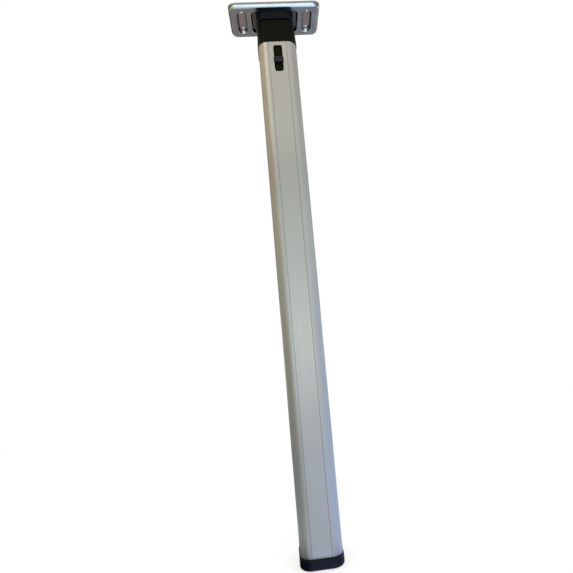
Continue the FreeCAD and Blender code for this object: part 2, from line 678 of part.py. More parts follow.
def make_hinge_head():
    body = new_body("hinge_head")
    collar = new_sketch(body, "XY_Plane", "tube_top")
    draw_round_block(collar, "collar_width", "collar_width", "collar_corner")
    pad(body, collar, "head_top - tube_top", draft=HEAD_DRAFT)
    # The upper rear edge is round about the pivot, so that it passes under the base as the leg folds.
    back = new_sketch(body, "YZ_Plane")
    draw_loop(back, [
        (f"pin_y + {HEAD_ROUND}", "pin_z"),
        ("pin_y + block_width", "pin_z"),
        ("pin_y + block_width", "head_top + block_width"),
        ("pin_y", "head_top + block_width"),
        ("pin_y", "head_top", f"-{HEAD_ROUND}"),
    ])
    pocket(body, back, "2 * collar_width", both_sides=True)
    round_edges(body, "block_edge", at_height("head_top"))
    spigot = new_sketch(body, "XY_Plane", "tube_top")
    draw_round_block(spigot, SPIGOT_WIDTH, SPIGOT_WIDTH, SPIGOT_CORNER)
    pad(body, spigot, "tube_top - spigot_bottom", down=True)
    # Slot for the knuckle, open at the top and the back
    slot = new_sketch(body, "YZ_Plane")
    draw_loop(slot, [
        ("pin_y", f"pin_z - {KNUCKLE_SLOT}"),
        ("collar_width", f"pin_z - {KNUCKLE_SLOT}"),
        ("collar_width", "overall_height"),
        (f"pin_y - {KNUCKLE_SLOT}", "overall_height"),
        (f"pin_y - {KNUCKLE_SLOT}", "pin_z", KNUCKLE_SLOT),
    ])
    pocket(body, slot, f"2 * {SLOT_HALF}", both_sides=True)
    bore = new_sketch(body, "YZ_Plane")
    draw_circle(bore, "pin_radius + seat_gap", "pin_y", "pin_z")
    pocket(body, bore, "2 * collar_width", both_sides=True)
    recess = new_sketch(body, "YZ_Plane", "clip_seat")
    draw_circle(recess, "clip_recess", "pin_y", "pin_z")
    one_side = pocket(body, recess, "collar_width", up=True)
    mirror(body, [one_side], "YZ_Plane")
    # Inside of the moulding: cavity, front core, channel for the front plate, slit for the arm, bolt guide
    cavity = new_sketch(body, "XY_Plane", "spigot_bottom")
    draw_rectangle(cavity, "-cavity_width / 2", "-cavity_front", "cavity_width / 2", "cavity_back")
    pocket(body, cavity, "cavity_top - spigot_bottom", up=True)
    core = new_sketch(body, "XY_Plane", "spigot_bottom")
    draw_rectangle(
        core,
        "-cavity_width / 2",
        "-cavity_front",
        "cavity_width / 2",
        f"pin_y - {KNUCKLE_SLOT} - head_wall",
    )
    pocket(body, core, "head_top - head_wall - spigot_bottom", up=True)
    channel = new_sketch(body, "XY_Plane", "spigot_bottom")
    draw_rectangle(
        channel,
        "-slide_width / 2 - slide_gap",
        "tube_wall - tube_width / 2",
        "slide_width / 2 + slide_gap",
        f"{SLIDE_BACK} + slide_gap",
    )
    pocket(body, channel, "slide_top + latch_travel + latch_overrun - spigot_bottom", up=True)
    slit = new_sketch(body, "XY_Plane", "spigot_bottom")
    draw_rectangle(
        slit,
        "-arm_width / 2 - slide_gap",
        SLIDE_BACK,
        "arm_width / 2 + slide_gap",
        "0",
    )
    pocket(body, slit, "arm_top + latch_travel + latch_overrun - spigot_bottom", up=True)
    guide = new_sketch(body, "XY_Plane", "spigot_bottom")
    draw_block(guide, "(bolt_width + 2 * slide_gap)", "(bolt_depth + 2 * slide_gap)", y="pin_y")
    pocket(body, guide, "pin_z - spigot_bottom", up=True)
    pilots = new_sketch(body, "XY_Plane", "spigot_bottom")
    draw_circle(pilots, "small_screw_radius + seat_gap", "seat_screw_x")
    draw_circle(pilots, "small_screw_radius + seat_gap", "-seat_screw_x")
    pocket(body, pilots, "seat_screw_length", up=True)
    rivets = new_sketch(body, "XZ_Plane")
    draw_circle(rivets, "tube_rivet_radius + seat_gap", "tube_rivet_x", "tube_rivet_z")
    draw_circle(rivets, "tube_rivet_radius + seat_gap", "-tube_rivet_x", "tube_rivet_z")
    pocket(body, rivets, "collar_width")
    return body


def make_leg_tube():
    body = new_body("leg_tube")
    length = "tube_top - foot_height"
    section = new_sketch(body, "XY_Plane", "foot_height")
    draw_round_block(section, "tube_width", "tube_width", "tube_corner")
    draw_round_block(section, TUBE_INSIDE, TUBE_INSIDE, "(tube_corner - tube_wall)")
    pad(body, section, length)
    grooves = new_sketch(body, "XY_Plane", "foot_height")
    for x in ("groove_offset", "-groove_offset"):
        draw_loop(grooves, [
            (f"{x} - groove_width / 2", "-tube_width / 2 - groove_depth"),
            (f"{x} + groove_width / 2", "-tube_width / 2 - groove_depth"),
            (f"{x} + groove_width / 2", "-tube_width / 2"),
            (f"{x} + groove_width / 6", "-tube_width / 2 + groove_depth"),
            (f"{x} - groove_width / 6", "-tube_width / 2 + groove_depth"),
            (f"{x} - groove_width / 2", "-tube_width / 2"),
        ])
    front_grooves = pocket(body, grooves, length, up=True)
    around = body.newObject("PartDesign::PolarPattern", "leg_tube_faces")
    around.Originals = [front_grooves]
    around.Axis = (next(item for item in body.Origin.OriginFeatures if item.Role == "Z_Axis"), [""])
    around.Angle = 360.0
    around.Occurrences = 4
    body.Tip = around
    doc.recompute()
    slot = new_sketch(body, "XZ_Plane")
    draw_round_block(slot, "slot_width", "slot_height", "slot_corner", y=f"({SLOT_TOP} - slot_height / 2)")
    pocket(body, slot, "tube_width", up=True)
    rivets = new_sketch(body, "XZ_Plane")
    draw_circle(rivets, "tube_rivet_radius + seat_gap", "tube_rivet_x", "tube_rivet_z")
    draw_circle(rivets, "tube_rivet_radius + seat_gap", "-tube_rivet_x", "tube_rivet_z")
    pocket(body, rivets, "tube_width")
    return body


def make_tube_rivets():
    body = new_body("tube_rivets")
    profile = new_sketch(body, "XZ_Plane")
    tail = "(tube_width / 2 - cavity_back)"
    bulb = "tube_rivet_bulb"
    draw_loop(profile, [
        ("0", f"-{tail} - {bulb}"),
        (f"{bulb} / 2", f"-{tail} - {bulb}"),
        (bulb, f"-{tail} - {bulb} / 2"),
        (bulb, f"-{tail}"),
        ("tube_rivet_radius", f"-{tail}"),
        ("tube_rivet_radius", "0"),
        ("tube_rivet_head", "0", "tube_rivet_dome"),
        ("mandrel_radius", "tube_rivet_rise"),
        ("mandrel_radius", "tube_rivet_rise - mandrel_depth"),
        ("0", "tube_rivet_rise - mandrel_depth"),
    ])
    first = revolve(body, profile)
    # Local Z points out of the rear face.
    body.Placement = FreeCAD.Placement(
        FreeCAD.Vector(), FreeCAD.Rotation(FreeCAD.Vector(1, 0, 0), -90)
    )
    bind(body, "Placement.Base.x", "-tube_rivet_x")
    bind(body, "Placement.Base.y", "tube_width / 2")
    bind(body, "Placement.Base.z", "tube_rivet_z")
    body.AllowCompound = True
    repeat(body, [first], "X_Axis", "2 * tube_rivet_x")
    return body


def make_latch_carriage():
    body = new_body("latch_carriage")
    front = new_sketch(body, "XY_Plane", "slide_bottom")
    draw_rectangle(front, "-slide_width / 2", SLIDE_FRONT, "slide_width / 2", SLIDE_BACK)
    pad(body, front, "slide_top - slide_bottom")
    arm = new_sketch(body, "XY_Plane", "arm_bottom")
    draw_rectangle(arm, "-arm_width / 2", SLIDE_BACK, "arm_width / 2", "pin_y")
    pad(body, arm, "arm_top - arm_bottom")
    grip = new_sketch(body, "XY_Plane", "grip_bottom")
    draw_round_block(grip, "grip_width", "grip_depth", "cross_pin_radius", y="pin_y")
    pad(body, grip, "grip_top - grip_bottom")
    boss = new_sketch(body, "XY_Plane", "grip_bottom")
    draw_circle(boss, "post_radius", y="pin_y")
    pad(body, boss, "post_radius", down=True)
    socket = new_sketch(body, "XY_Plane", "grip_top")
    draw_block(socket, "(bolt_width + 2 * seat_gap)", "(bolt_depth + 2 * seat_gap)", y="pin_y")
    pocket(body, socket, "grip_top - bolt_foot")
    cross = new_sketch(body, "YZ_Plane")
    draw_circle(cross, "cross_pin_radius + seat_gap", "pin_y", "cross_pin_z")
    pocket(body, cross, "grip_width", both_sides=True)
    window = new_sketch(body, "XZ_Plane")
    draw_block(window, "(stem_width + 2 * seat_gap)", "(stem_height + 2 * seat_gap)", y="thumb_z")
    pocket(body, window, "tube_width", up=True)
    return body


def make_thumb_slide():
    body = new_body("thumb_slide")
    face = "(tube_width / 2 + slide_gap)"
    rib = new_sketch(body, "XZ_Plane", face)
    draw_round_block(rib, "thumb_width", "thumb_height", "thumb_corner", y="thumb_z")
    pad(body, rib, "thumb_proud - slide_gap")
    front = -number("tube_width / 2 + thumb_proud")
    round_edges(body, "thumb_round", lambda point: abs(point.y - front) < TOUCHING)
    # Two grooves leave three grip ridges. Each wedge is drawn on in front of the rib.
    grooves = new_sketch(body, "YZ_Plane")
    nose = "(-tube_width / 2 - thumb_proud)"
    for side in ("+", "-"):
        middle = f"(thumb_z {side} ridge_pitch / 2)"
        draw_loop(grooves, [
            (f"{nose} + ridge_cut", middle),
            (f"{nose} - ridge_cut", f"{middle} + ridge_groove"),
            (f"{nose} - ridge_cut", f"{middle} - ridge_groove"),
        ])
    pocket(body, grooves, "thumb_width", both_sides=True)
    stem = new_sketch(body, "XZ_Plane", face)
    draw_block(stem, "stem_width", "stem_height", y="thumb_z")
    pad(body, stem, f"{face} + {SLIDE_BACK}", down=True)
    return body


def make_latch_bolt():
    body = new_body("latch_bolt")
    profile = new_sketch(body, "YZ_Plane")
    shoulder = f"({BOLT_TIP} - latch_travel)"
    draw_loop(profile, [
        ("pin_y - bolt_depth / 2", "bolt_foot"),
        ("pin_y + bolt_depth / 2", "bolt_foot"),
        ("pin_y + bolt_depth / 2", shoulder),
        ("pin_y + bolt_nose / 2", BOLT_TIP),
        ("pin_y - bolt_nose / 2", BOLT_TIP),
        ("pin_y - bolt_depth / 2", shoulder),
    ])
    pad(body, profile, "bolt_width", both_sides=True)
    cross = new_sketch(body, "YZ_Plane")
    draw_circle(cross, "cross_pin_radius + seat_gap", "pin_y", "cross_pin_z")
    pocket(body, cross, "bolt_width", both_sides=True)
    return body


def make_bolt_roll_pin():
    body = new_body("bolt_roll_pin")
    section = new_sketch(body, "YZ_Plane")
    draw_circle(section, "cross_pin_radius", "pin_y", "cross_pin_z")
    draw_circle(section, "cross_pin_bore", "pin_y", "cross_pin_z")
    pad(body, section, "grip_width", both_sides=True)
    slit = new_sketch(body, "YZ_Plane")
    draw_rectangle(
        slit,
        "pin_y - cross_pin_slit / 2",
        "cross_pin_z",
        "pin_y + cross_pin_slit / 2",
        "cross_pin_z + 2 * cross_pin_radius",
    )
    pocket(body, slit, "grip_width", both_sides=True)
    return body


def make_latch_spring():
    body = new_body("latch_spring")
    wire = new_sketch(body, "XZ_Plane")
    draw_circle(wire, "wire_radius", "coil_radius", "0")
    doc.recompute()
    coil = body.newObject("PartDesign::AdditiveHelix", "latch_spring_coil")
    coil.Profile = wire
    coil.ReferenceAxis = (wire, ["V_Axis"])
    coil.Mode = "height-turns-angle"
    bind(coil, "Height", "grip_bottom - spigot_bottom - 2 * wire_radius")
    bind(coil, "Turns", "coil_turns")
    doc.recompute()
    bind(body, "Placement.Base.y", "pin_y")
    bind(body, "Placement.Base.z", "spigot_bottom + wire_radius")
    return body


def make_spring_seat():
    body = new_body("spring_seat")
    plate = new_sketch(body, "XY_Plane", "spigot_bottom")
    draw_round_block(plate, "seat_width", "seat_width", "seat_corner")
    pad(body, plate, "seat_gauge", down=True)
    post = new_sketch(body, "XY_Plane", "spigot_bottom")
    draw_circle(post, "post_radius", y="pin_y")
    pad(body, post, "post_height")
    round_edges(body, "post_radius / 2", at_height("spigot_bottom + post_height"))
    holes = new_sketch(body, "XY_Plane", "spigot_bottom")
    draw_circle(holes, "small_screw_radius + seat_gap", "seat_screw_x")
    draw_circle(holes, "small_screw_radius + seat_gap", "-seat_screw_x")
    pocket(body, holes, "seat_gauge")
    return body


def make_seat_screws():
    body = new_body("seat_screws")
    profile = new_sketch(body, "XZ_Plane")
    draw_screw(profile, "0", "(seat_gauge + seat_screw_length - pilot_spare)")
    first = revolve(body, profile)
    # The head is below the seat, so the screw is turned over.
    body.Placement = FreeCAD.Placement(
        FreeCAD.Vector(), FreeCAD.Rotation(FreeCAD.Vector(0, 1, 0), 180)
    )
    bind(body, "Placement.Base.x", "seat_screw_x")
    bind(body, "Placement.Base.z", "spigot_bottom - seat_gauge")
    body.AllowCompound = True
    repeat(body, [first], "X_Axis", "2 * seat_screw_x")
    return body


def make_foot_cap():
    body = new_body("foot_cap")
    cap = new_sketch(body, "XY_Plane")
    draw_round_block(cap, "foot_width", "foot_width", "foot_corner")
    pad(body, cap, "foot_height")
    round_edges(body, "foot_round", at_height("0"))
    round_edges(body, "foot_lip", at_height("foot_height"))
    tread = new_sketch(body, "XY_Plane")
    for inset in ("tread_inset", "(tread_inset + tread_width)", "2 * tread_inset",
                  "(2 * tread_inset + tread_width)"):
        width = f"(foot_width - 2 * {inset})"
        draw_round_block(tread, width, width, f"(foot_corner * {width} / foot_width)")
    pocket(body, tread, "tread_depth", up=True)
    plug_width = "(tube_width - 2 * tube_wall - 2 * plug_gap)"
    plug_corner = "(tube_corner - tube_wall - plug_gap)"
    plug = new_sketch(body, "XY_Plane", "foot_height")
    draw_round_block(plug, plug_width, plug_width, plug_corner)
    pad(body, plug, "plug_height")
    hollow = new_sketch(body, "XY_Plane", "foot_sole")
    inner = f"({plug_width} - 2 * plug_wall)"
    draw_round_block(hollow, inner, inner, f"({plug_corner} - plug_wall)")
    pocket(body, hollow, "foot_height + plug_height - foot_sole", up=True)
    slits = new_sketch(body, "XY_Plane", "foot_height + foot_sole")
    draw_block(slits, "plug_slit", "tube_width")
    across = pocket(body, slits, "plug_height", up=True)
    turned = body.newObject("PartDesign::PolarPattern", "foot_cap_slits")
    turned.Originals = [across]
    turned.Axis = (next(item for item in body.Origin.OriginFeatures if item.Role == "Z_Axis"), [""])
    turned.Angle = 180.0
    turned.Occurrences = 2
    body.Tip = turned
    doc.recompute()
    for width, depth in (("plug_rib", inner), (inner, "plug_rib")):
        rib = new_sketch(body, "XY_Plane", "foot_sole")
        draw_block(rib, width, depth)
        pad(body, rib, "foot_height")
    return body


def main():
    bodies = [
        make_mounting_plate(),
        make_hinge_base(),
        make_base_screws(),
        make_lock_knuckle(),
        make_knuckle_rivets(),
        make_pivot_bush(),
        make_thrust_washers(),
        make_pivot_pin(),
        make_pin_clips(),
        make_hinge_head(),
        make_leg_tube(),
        make_tube_rivets(),
        make_latch_carriage(),
        make_thumb_slide(),
        make_latch_bolt(),
        make_bolt_roll_pin(),
        make_latch_spring(),
        make_spring_seat(),
        make_seat_screws(),
        make_foot_cap(),
    ]
    doc.recompute()
    failed = [item.Name for item in doc.Objects if "Invalid" in item.State or "Error" in item.State]
    if failed:
        raise RuntimeError("failed: " + ", ".join(failed))
    for body in bodies:
        if body.Shape.isNull() or not body.Shape.isValid():
            raise RuntimeError(body.Label + " has no valid shape")
    os.makedirs("parts", exist_ok=True)
    for body in bodies:
        body.Shape.exportStep(f"parts/{body.Label}.step")
        solids = len(body.Shape.Solids)
        print(f"{body.Label}: {solids} solid(s), {body.Shape.Volume / 1000:.2f} cm3")


main()
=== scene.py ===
import math
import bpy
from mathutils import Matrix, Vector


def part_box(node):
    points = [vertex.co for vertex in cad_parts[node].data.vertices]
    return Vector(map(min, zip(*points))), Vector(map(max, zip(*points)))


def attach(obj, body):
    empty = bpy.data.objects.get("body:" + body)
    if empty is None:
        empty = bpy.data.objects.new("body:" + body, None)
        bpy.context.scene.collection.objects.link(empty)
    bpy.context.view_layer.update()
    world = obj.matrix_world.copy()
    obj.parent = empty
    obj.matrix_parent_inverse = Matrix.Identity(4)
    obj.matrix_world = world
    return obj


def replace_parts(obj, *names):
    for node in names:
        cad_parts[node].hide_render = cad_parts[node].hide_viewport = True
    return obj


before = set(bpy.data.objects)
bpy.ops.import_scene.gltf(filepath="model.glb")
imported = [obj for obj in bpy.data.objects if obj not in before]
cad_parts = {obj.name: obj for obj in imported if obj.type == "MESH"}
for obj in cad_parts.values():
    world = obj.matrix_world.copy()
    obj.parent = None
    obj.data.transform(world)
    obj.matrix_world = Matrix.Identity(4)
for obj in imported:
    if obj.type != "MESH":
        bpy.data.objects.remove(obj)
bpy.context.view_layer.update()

from types import SimpleNamespace

import bmesh
import bpy
from bpy.props import FloatProperty, FloatVectorProperty, PointerProperty
from mathutils import Matrix, Vector

bl_info = {
    "name": "Folding Table Leg",
    "version": (1, 0, 0),
    "blender": (4, 5, 0),
    "location": "3D View > Sidebar > Table Leg",
    "description": "Dresses the folding table leg with its finishes and small parts, and sets up its studio",
    "category": "Object",
}

MM = 0.001
ORIGIN = (0.0, 0.0, 0.0)
UP = (0.0, 0.0, 1.0)
BACKWARDS = (0.0, 1.0, 0.0)
WHITE = (1.0, 1.0, 1.0)

# Places and sizes on the CAD pieces, in metres
SLOT_WIDTH = 11.6 * MM
SLOT_HEIGHT = 36.5 * MM
SLOT_CORNER = 3.0 * MM
SLOT_DROP = 5.4 * MM
OUTER_RECESS = 43.6 * MM
INNER_RECESS = 24.8 * MM
SCREW_HOLE = 15.5 * MM
RIVET_HEAD = 4.0 * MM
MANDREL_HOLE = 1.2 * MM
IN_FRONT_OF_GATE = (9.6 * MM, -0.1, 0.652)

# Where plastic starts to be rubbed and where it is worn most: above the floor, and behind the thumb's crest
FOOT_RUBBED = (2.4 * MM, 0.2 * MM)
THUMB_RUBBED = (0.7 * MM, 0.1 * MM)
RUB_PATCHES = (0.45, 1.0)

# How much paler black plastic is where it is mottled, scuffed or freshly trimmed
MOTTLED = 1.7
SCUFFED = 4.0
TRIMMED = 5.0

# Bands along the tube, in metres above the floor: start, end and softness. The middle band is a painted
# reflection tint, the shaded band is painted shade, and its loss is how far that shade darkens the tube.
TUBE_MIDDLE = (0.22, 0.5, 0.1)
TUBE_SHADED_BAND = (0.44, 0.495, 0.03)
SHADED_BAND_LOSS = 0.1

# How far the drawn lines lighten and darken the metal, and how far the painted contact shade above the foot
# is patchy
TUBE_STREAKS = (0.97, 1.02)
PLATE_STREAKS = (0.93, 1.05)
CONTACT_SHADE_PATCHES = (0.55, 1.0)

# Soft steps over the tube, in millimetres: where each one starts and where it ends
TUBE_STEPS = SimpleNamespace(
    bare_edge=(0.0, 0.2),  # beyond the slot's outline
    front=(4.0, 5.0),  # behind the front face
    # Painted contact shade above the foot, and a painted shadow line at the joint with the foot
    contact_shade=(0.0, 4.5),  # above the tube's lower end
    seam=(0.8, 1.3),  # above the tube's lower end
)

# Soft steps over the plate, in millimetres, that place its painted shade, highlights and reflections
PLATE_STEPS = SimpleNamespace(
    # From the middle line of the nearest recess
    wall_inside=(4.1, 4.7),
    wall_outside=(6.4, 7.0),
    end_inside=(2.0, 3.4),
    end_outside=(6.6, 7.2),
    # From the middle line of the outer recess towards the plate's end
    wall_shade=(-3.0, 3.0),
    outer_only=(-11.0, -9.0),
    # Out from the side of a lit fan, and in from the limit of a drawn corner
    fan_side=(-0.6, 0.6),
    corner_end=(0.0, 2.0),
    # From the plate's own middle lines
    straight=(14.0, 17.0),
    beside_block=(28.0, 31.0),
    back_half=(-1.0, 1.0),
    # From the axis of a screw hole
    bore=(2.15, 2.4),
    # Above the underside
    slope_low=(0.1, 0.5),
    slope_high=(3.5, 3.9),
    fan_height=(0.2, 3.4),
    recess_floor=(3.0, 3.8),
    bend=(1.3, 2.0),
    crest=(2.4, 3.0),
    corner_slant=(0.5, 3.2),
    edge=(3.4, 4.0),
    # In from the plate's outline
    rim=(2.4, 4.4),
    end=(1.6, 3.2),
    corner_side=(4.0, 6.5),
    edge_inside=(3.0, 5.0),
)
# Shares of the painted shade on the recess walls, then widths and share of the painted highlight on the lit
# fans
WALL_SHADES = (0.32, 0.95)  # of a recess's wall nearer the middle, and of the other
FAN_WIDTHS = (3.3 * MM, 1.0 * MM)  # at the underside, and deep in the recess
FAN_SHARE = 0.42
# Reach and slant of the painted shade on the drawn corners
CORNER_REACHES = (6.0 * MM, 9.8 * MM)  # at the warm end, and at the cool end
CORNER_SLANTS = (-2.5 * MM, 1.5 * MM)  # low on the rim, and high on it
# Where the painted blue reflection lies near the cool end
BLUE_END = (0.84, 0.93)  # shares of the plate's length
FACING_DOWN = (-0.15, 0.05)  # how far a surface points up
ZINC_SHEEN = (0.6, 0.61, 0.63, 1.0)

# Bare metals: name, colour, colour where it is dull, roughness, and the nodes made of it
METALS = (
    ("bright_steel", (0.5, 0.5, 0.51), (0.42, 0.41, 0.42), 0.28,
     ("base_screws", "knuckle_rivets", "pivot_pin", "latch_bolt", "seat_screws")),
    ("die_cast_zinc", (0.36, 0.36, 0.37), (0.29, 0.29, 0.3), 0.48, ("lock_knuckle",)),
    ("spring_steel", (0.2, 0.2, 0.21), (0.15, 0.145, 0.14), 0.34,
     ("pin_clips", "bolt_roll_pin", "latch_spring")),
    ("bronze", (0.42, 0.26, 0.12), (0.3, 0.18, 0.09), 0.36, ("pivot_bush",)),
    ("plain_aluminium", (0.55, 0.55, 0.55), (0.47, 0.47, 0.48), 0.34, ("tube_rivets",)),
)
NYLON = (0.66, 0.64, 0.55)
NYLON_DULL = (0.6, 0.57, 0.47)

# Outlines that are spun into small pieces, as shares of a radius and heights.
# The heights of the screw head are shares of its own, and the others are in millimetres.
PAN_HEAD = ((0.97, 0.0), (1.0, 0.06), (1.0, 0.42), (0.965, 0.62), (0.88, 0.8), (0.76, 0.93), (0.64, 1.0))
MANDREL_STUB = (
    (0.0, 0.0), (1.0, 0.0), (1.0, 0.55), (0.9, 0.72), (0.72, 0.78), (0.5, 0.6), (0.2, 0.45), (0.0, 0.42),
)
GATE_MARK = ((1.0, -0.15), (0.95, 0.14), (0.7, 0.26), (0.5, 0.24), (0.3, 0.16), (0.0, 0.14))

# A screw's thread: steps in a turn, turns that are cut off again, and its outline in shares of the pitch
THREAD_STEPS = 24
SPARE_TURNS = 2
FLANK_SHARE = 0.45
CREST_SHARE = 0.72

# A screw's point, with its length in radii of the thread and the rest in shares, its neck and its drive
POINT_LENGTH = 1.6
POINT_SHOULDER = 0.6
POINT_TIP = 0.1
SCREW_NECK = 0.5 * MM
DRIVE_TAPER = 0.62

# Steps in a full turn of a screw's head, and of smaller pieces
HEAD_STEPS = 32
SMALL_STEPS = 24

# Tolerances: two points that are one, an edge that lies at a height, and a point that lies on a cut
SAME_POINT = 0.001 * MM
AT_HEIGHT = 0.005 * MM
ON_CUT = 0.0001 * MM

# An edge that turns by more than this stays sharp
SHARP_EDGE = math.radians(38.0)

# Lamps: name, place, size, brightness, colour, and whether shiny surfaces show it
LAMPS = (
    ("key_lamp", (0.0, -1.35, 0.25), (0.85, 0.14), 2.6, (0.95, 0.99, 1.0), True),
    ("side_lamp", (-0.9, -0.75, 1.3), (0.5, 0.5), 1.2, (1.0, 0.86, 0.66), True),
    ("top_lamp", (0.1, -1.0, 1.3), (1.1, 0.6), 0.3, (1.0, 0.82, 0.42), True),
    ("fill_lamp", (1.1, -1.2, 0.8), (0.9, 0.9), 1.0, WHITE, False),
)
LAMP_TARGET = (0.0, 0.0, 0.35)

# Reflector cards, which give the metal its darker and tinted edges: warm left, cool right, dim behind.
# Each has its name, size, place and heading in degrees, or no heading where it lies flat, then the axis
# that its shade runs along and the shade's stops, from the card's middle.
CARDS = (
    ("warm_card", (0.98, 1.3), (-0.5, -0.04, 0.65), -90.0, "Y", (
        (-0.6, (0.52, 0.51, 0.48)), (-0.12, (0.78, 0.68, 0.51)), (0.35, (1.04, 0.88, 0.64)),
    )),
    ("cool_card", (0.8, 1.3), (0.5, 0.05, 0.65), 90.0, "Y", (
        (-0.6, (0.86, 1.0, 1.45)), (-0.1, (0.98, 1.0, 1.05)), (0.35, (0.84, 0.80, 0.74)),
    )),
    ("floor_card", (1.0, 1.1), (0.0, -0.05, -0.2 * MM), None, "X", (
        (-0.35, (0.37, 0.4, 0.41)), (-0.2, (0.44, 0.47, 0.48)), (-0.13, (0.6, 0.63, 0.66)),
        (0.0, (0.88, 0.96, 1.17)), (0.12, (0.88, 1.05, 1.55)),
    )),
    ("foot_card", (0.16, 0.108), (0.0, 0.0, -0.1 * MM), None, "X", (
        (-0.06, (0.25, 0.27, 0.28)), (-0.04, (0.03, 0.035, 0.04)), (-0.022, (0.03, 0.035, 0.04)),
        (-0.012, (0.85, 0.95, 1.5)), (0.02, (0.9, 1.05, 1.7)), (0.032, (0.3, 0.45, 0.75)),
        (0.042, (0.3, 0.45, 0.75)), (0.058, (0.9, 1.05, 1.6)), (0.07, (0.9, 1.05, 1.6)),
    )),
    ("front_card", (1.0, 0.7), (0.0, -0.95, -0.2 * MM), None, "X", (
        (-0.3, (0.75, 0.82, 0.93)), (0.0, (0.9, 1.0, 1.15)), (0.3, (0.9, 1.06, 1.22)),
    )),
    ("back_card", (1.4, 1.0), (0.0, 1.0, -0.2 * MM), None, "X", (
        (-0.3, (0.38, 0.345, 0.33)), (0.0, (0.35, 0.34, 0.34)), (0.3, (0.335, 0.345, 0.395)),
    )),
    ("left_back_card", (0.9, 1.1), (-0.45, 0.72, 0.9), 0.0, "Y", (
        (-0.2, (0.3, 0.34, 0.4)), (0.1, (0.34, 0.345, 0.27)),
    )),
    ("right_back_card", (0.9, 1.1), (0.45, 0.72, 0.9), 0.0, "Y", (
        (-0.2, (0.36, 0.29, 0.27)), (0.1, (0.62, 0.55, 0.48)),
    )),
    ("right_front_card", (0.5, 1.9), (0.62, -0.66, 0.95), 45.0, "Y", (
        (-0.6, (1.1, 1.13, 1.22)), (0.6, (1.12, 1.12, 1.1)),
    )),
    ("window_card", (0.13, 0.7), (-0.386, -0.465, 1.11), -40.0, "Y", (
        (-0.35, (0.8, 0.7, 0.6)), (-0.25, (3.1, 2.9, 2.45)), (-0.15, (4.3, 4.05, 3.45)),
        (-0.05, (3.2, 3.0, 2.55)), (0.35, (2.2, 2.05, 1.8)),
    )),
)

# The floor lies under the flat cards, and fades out between two distances from its middle
FLOOR_SIZE = (4.0, 4.0)
FLOOR_PLACE = (0.0, 0.0, -0.4 * MM)
FLOOR_FADE = (0.7, 1.6)

SENSOR_WIDTH = 36.0
CAMERA_CLIP = (0.01, 100.0)


def colour_property(name, description, default):
    """A colour that a user can change."""
    return FloatVectorProperty(
        name=name, description=description, default=default, subtype="COLOR", size=3, min=0.0, max=1.0
    )


def length_property(name, description, millimetres):
    """A length that a user can change."""
    return FloatProperty(
        name=name, description=description, default=millimetres * MM, min=0.0, precision=5,
        subtype="DISTANCE", unit="LENGTH",
    )


def share_property(name, description, default):
    """A share from 0 to 1 that a user can change."""
    return FloatProperty(
        name=name, description=description, default=default, min=0.0, max=1.0, subtype="FACTOR"
    )


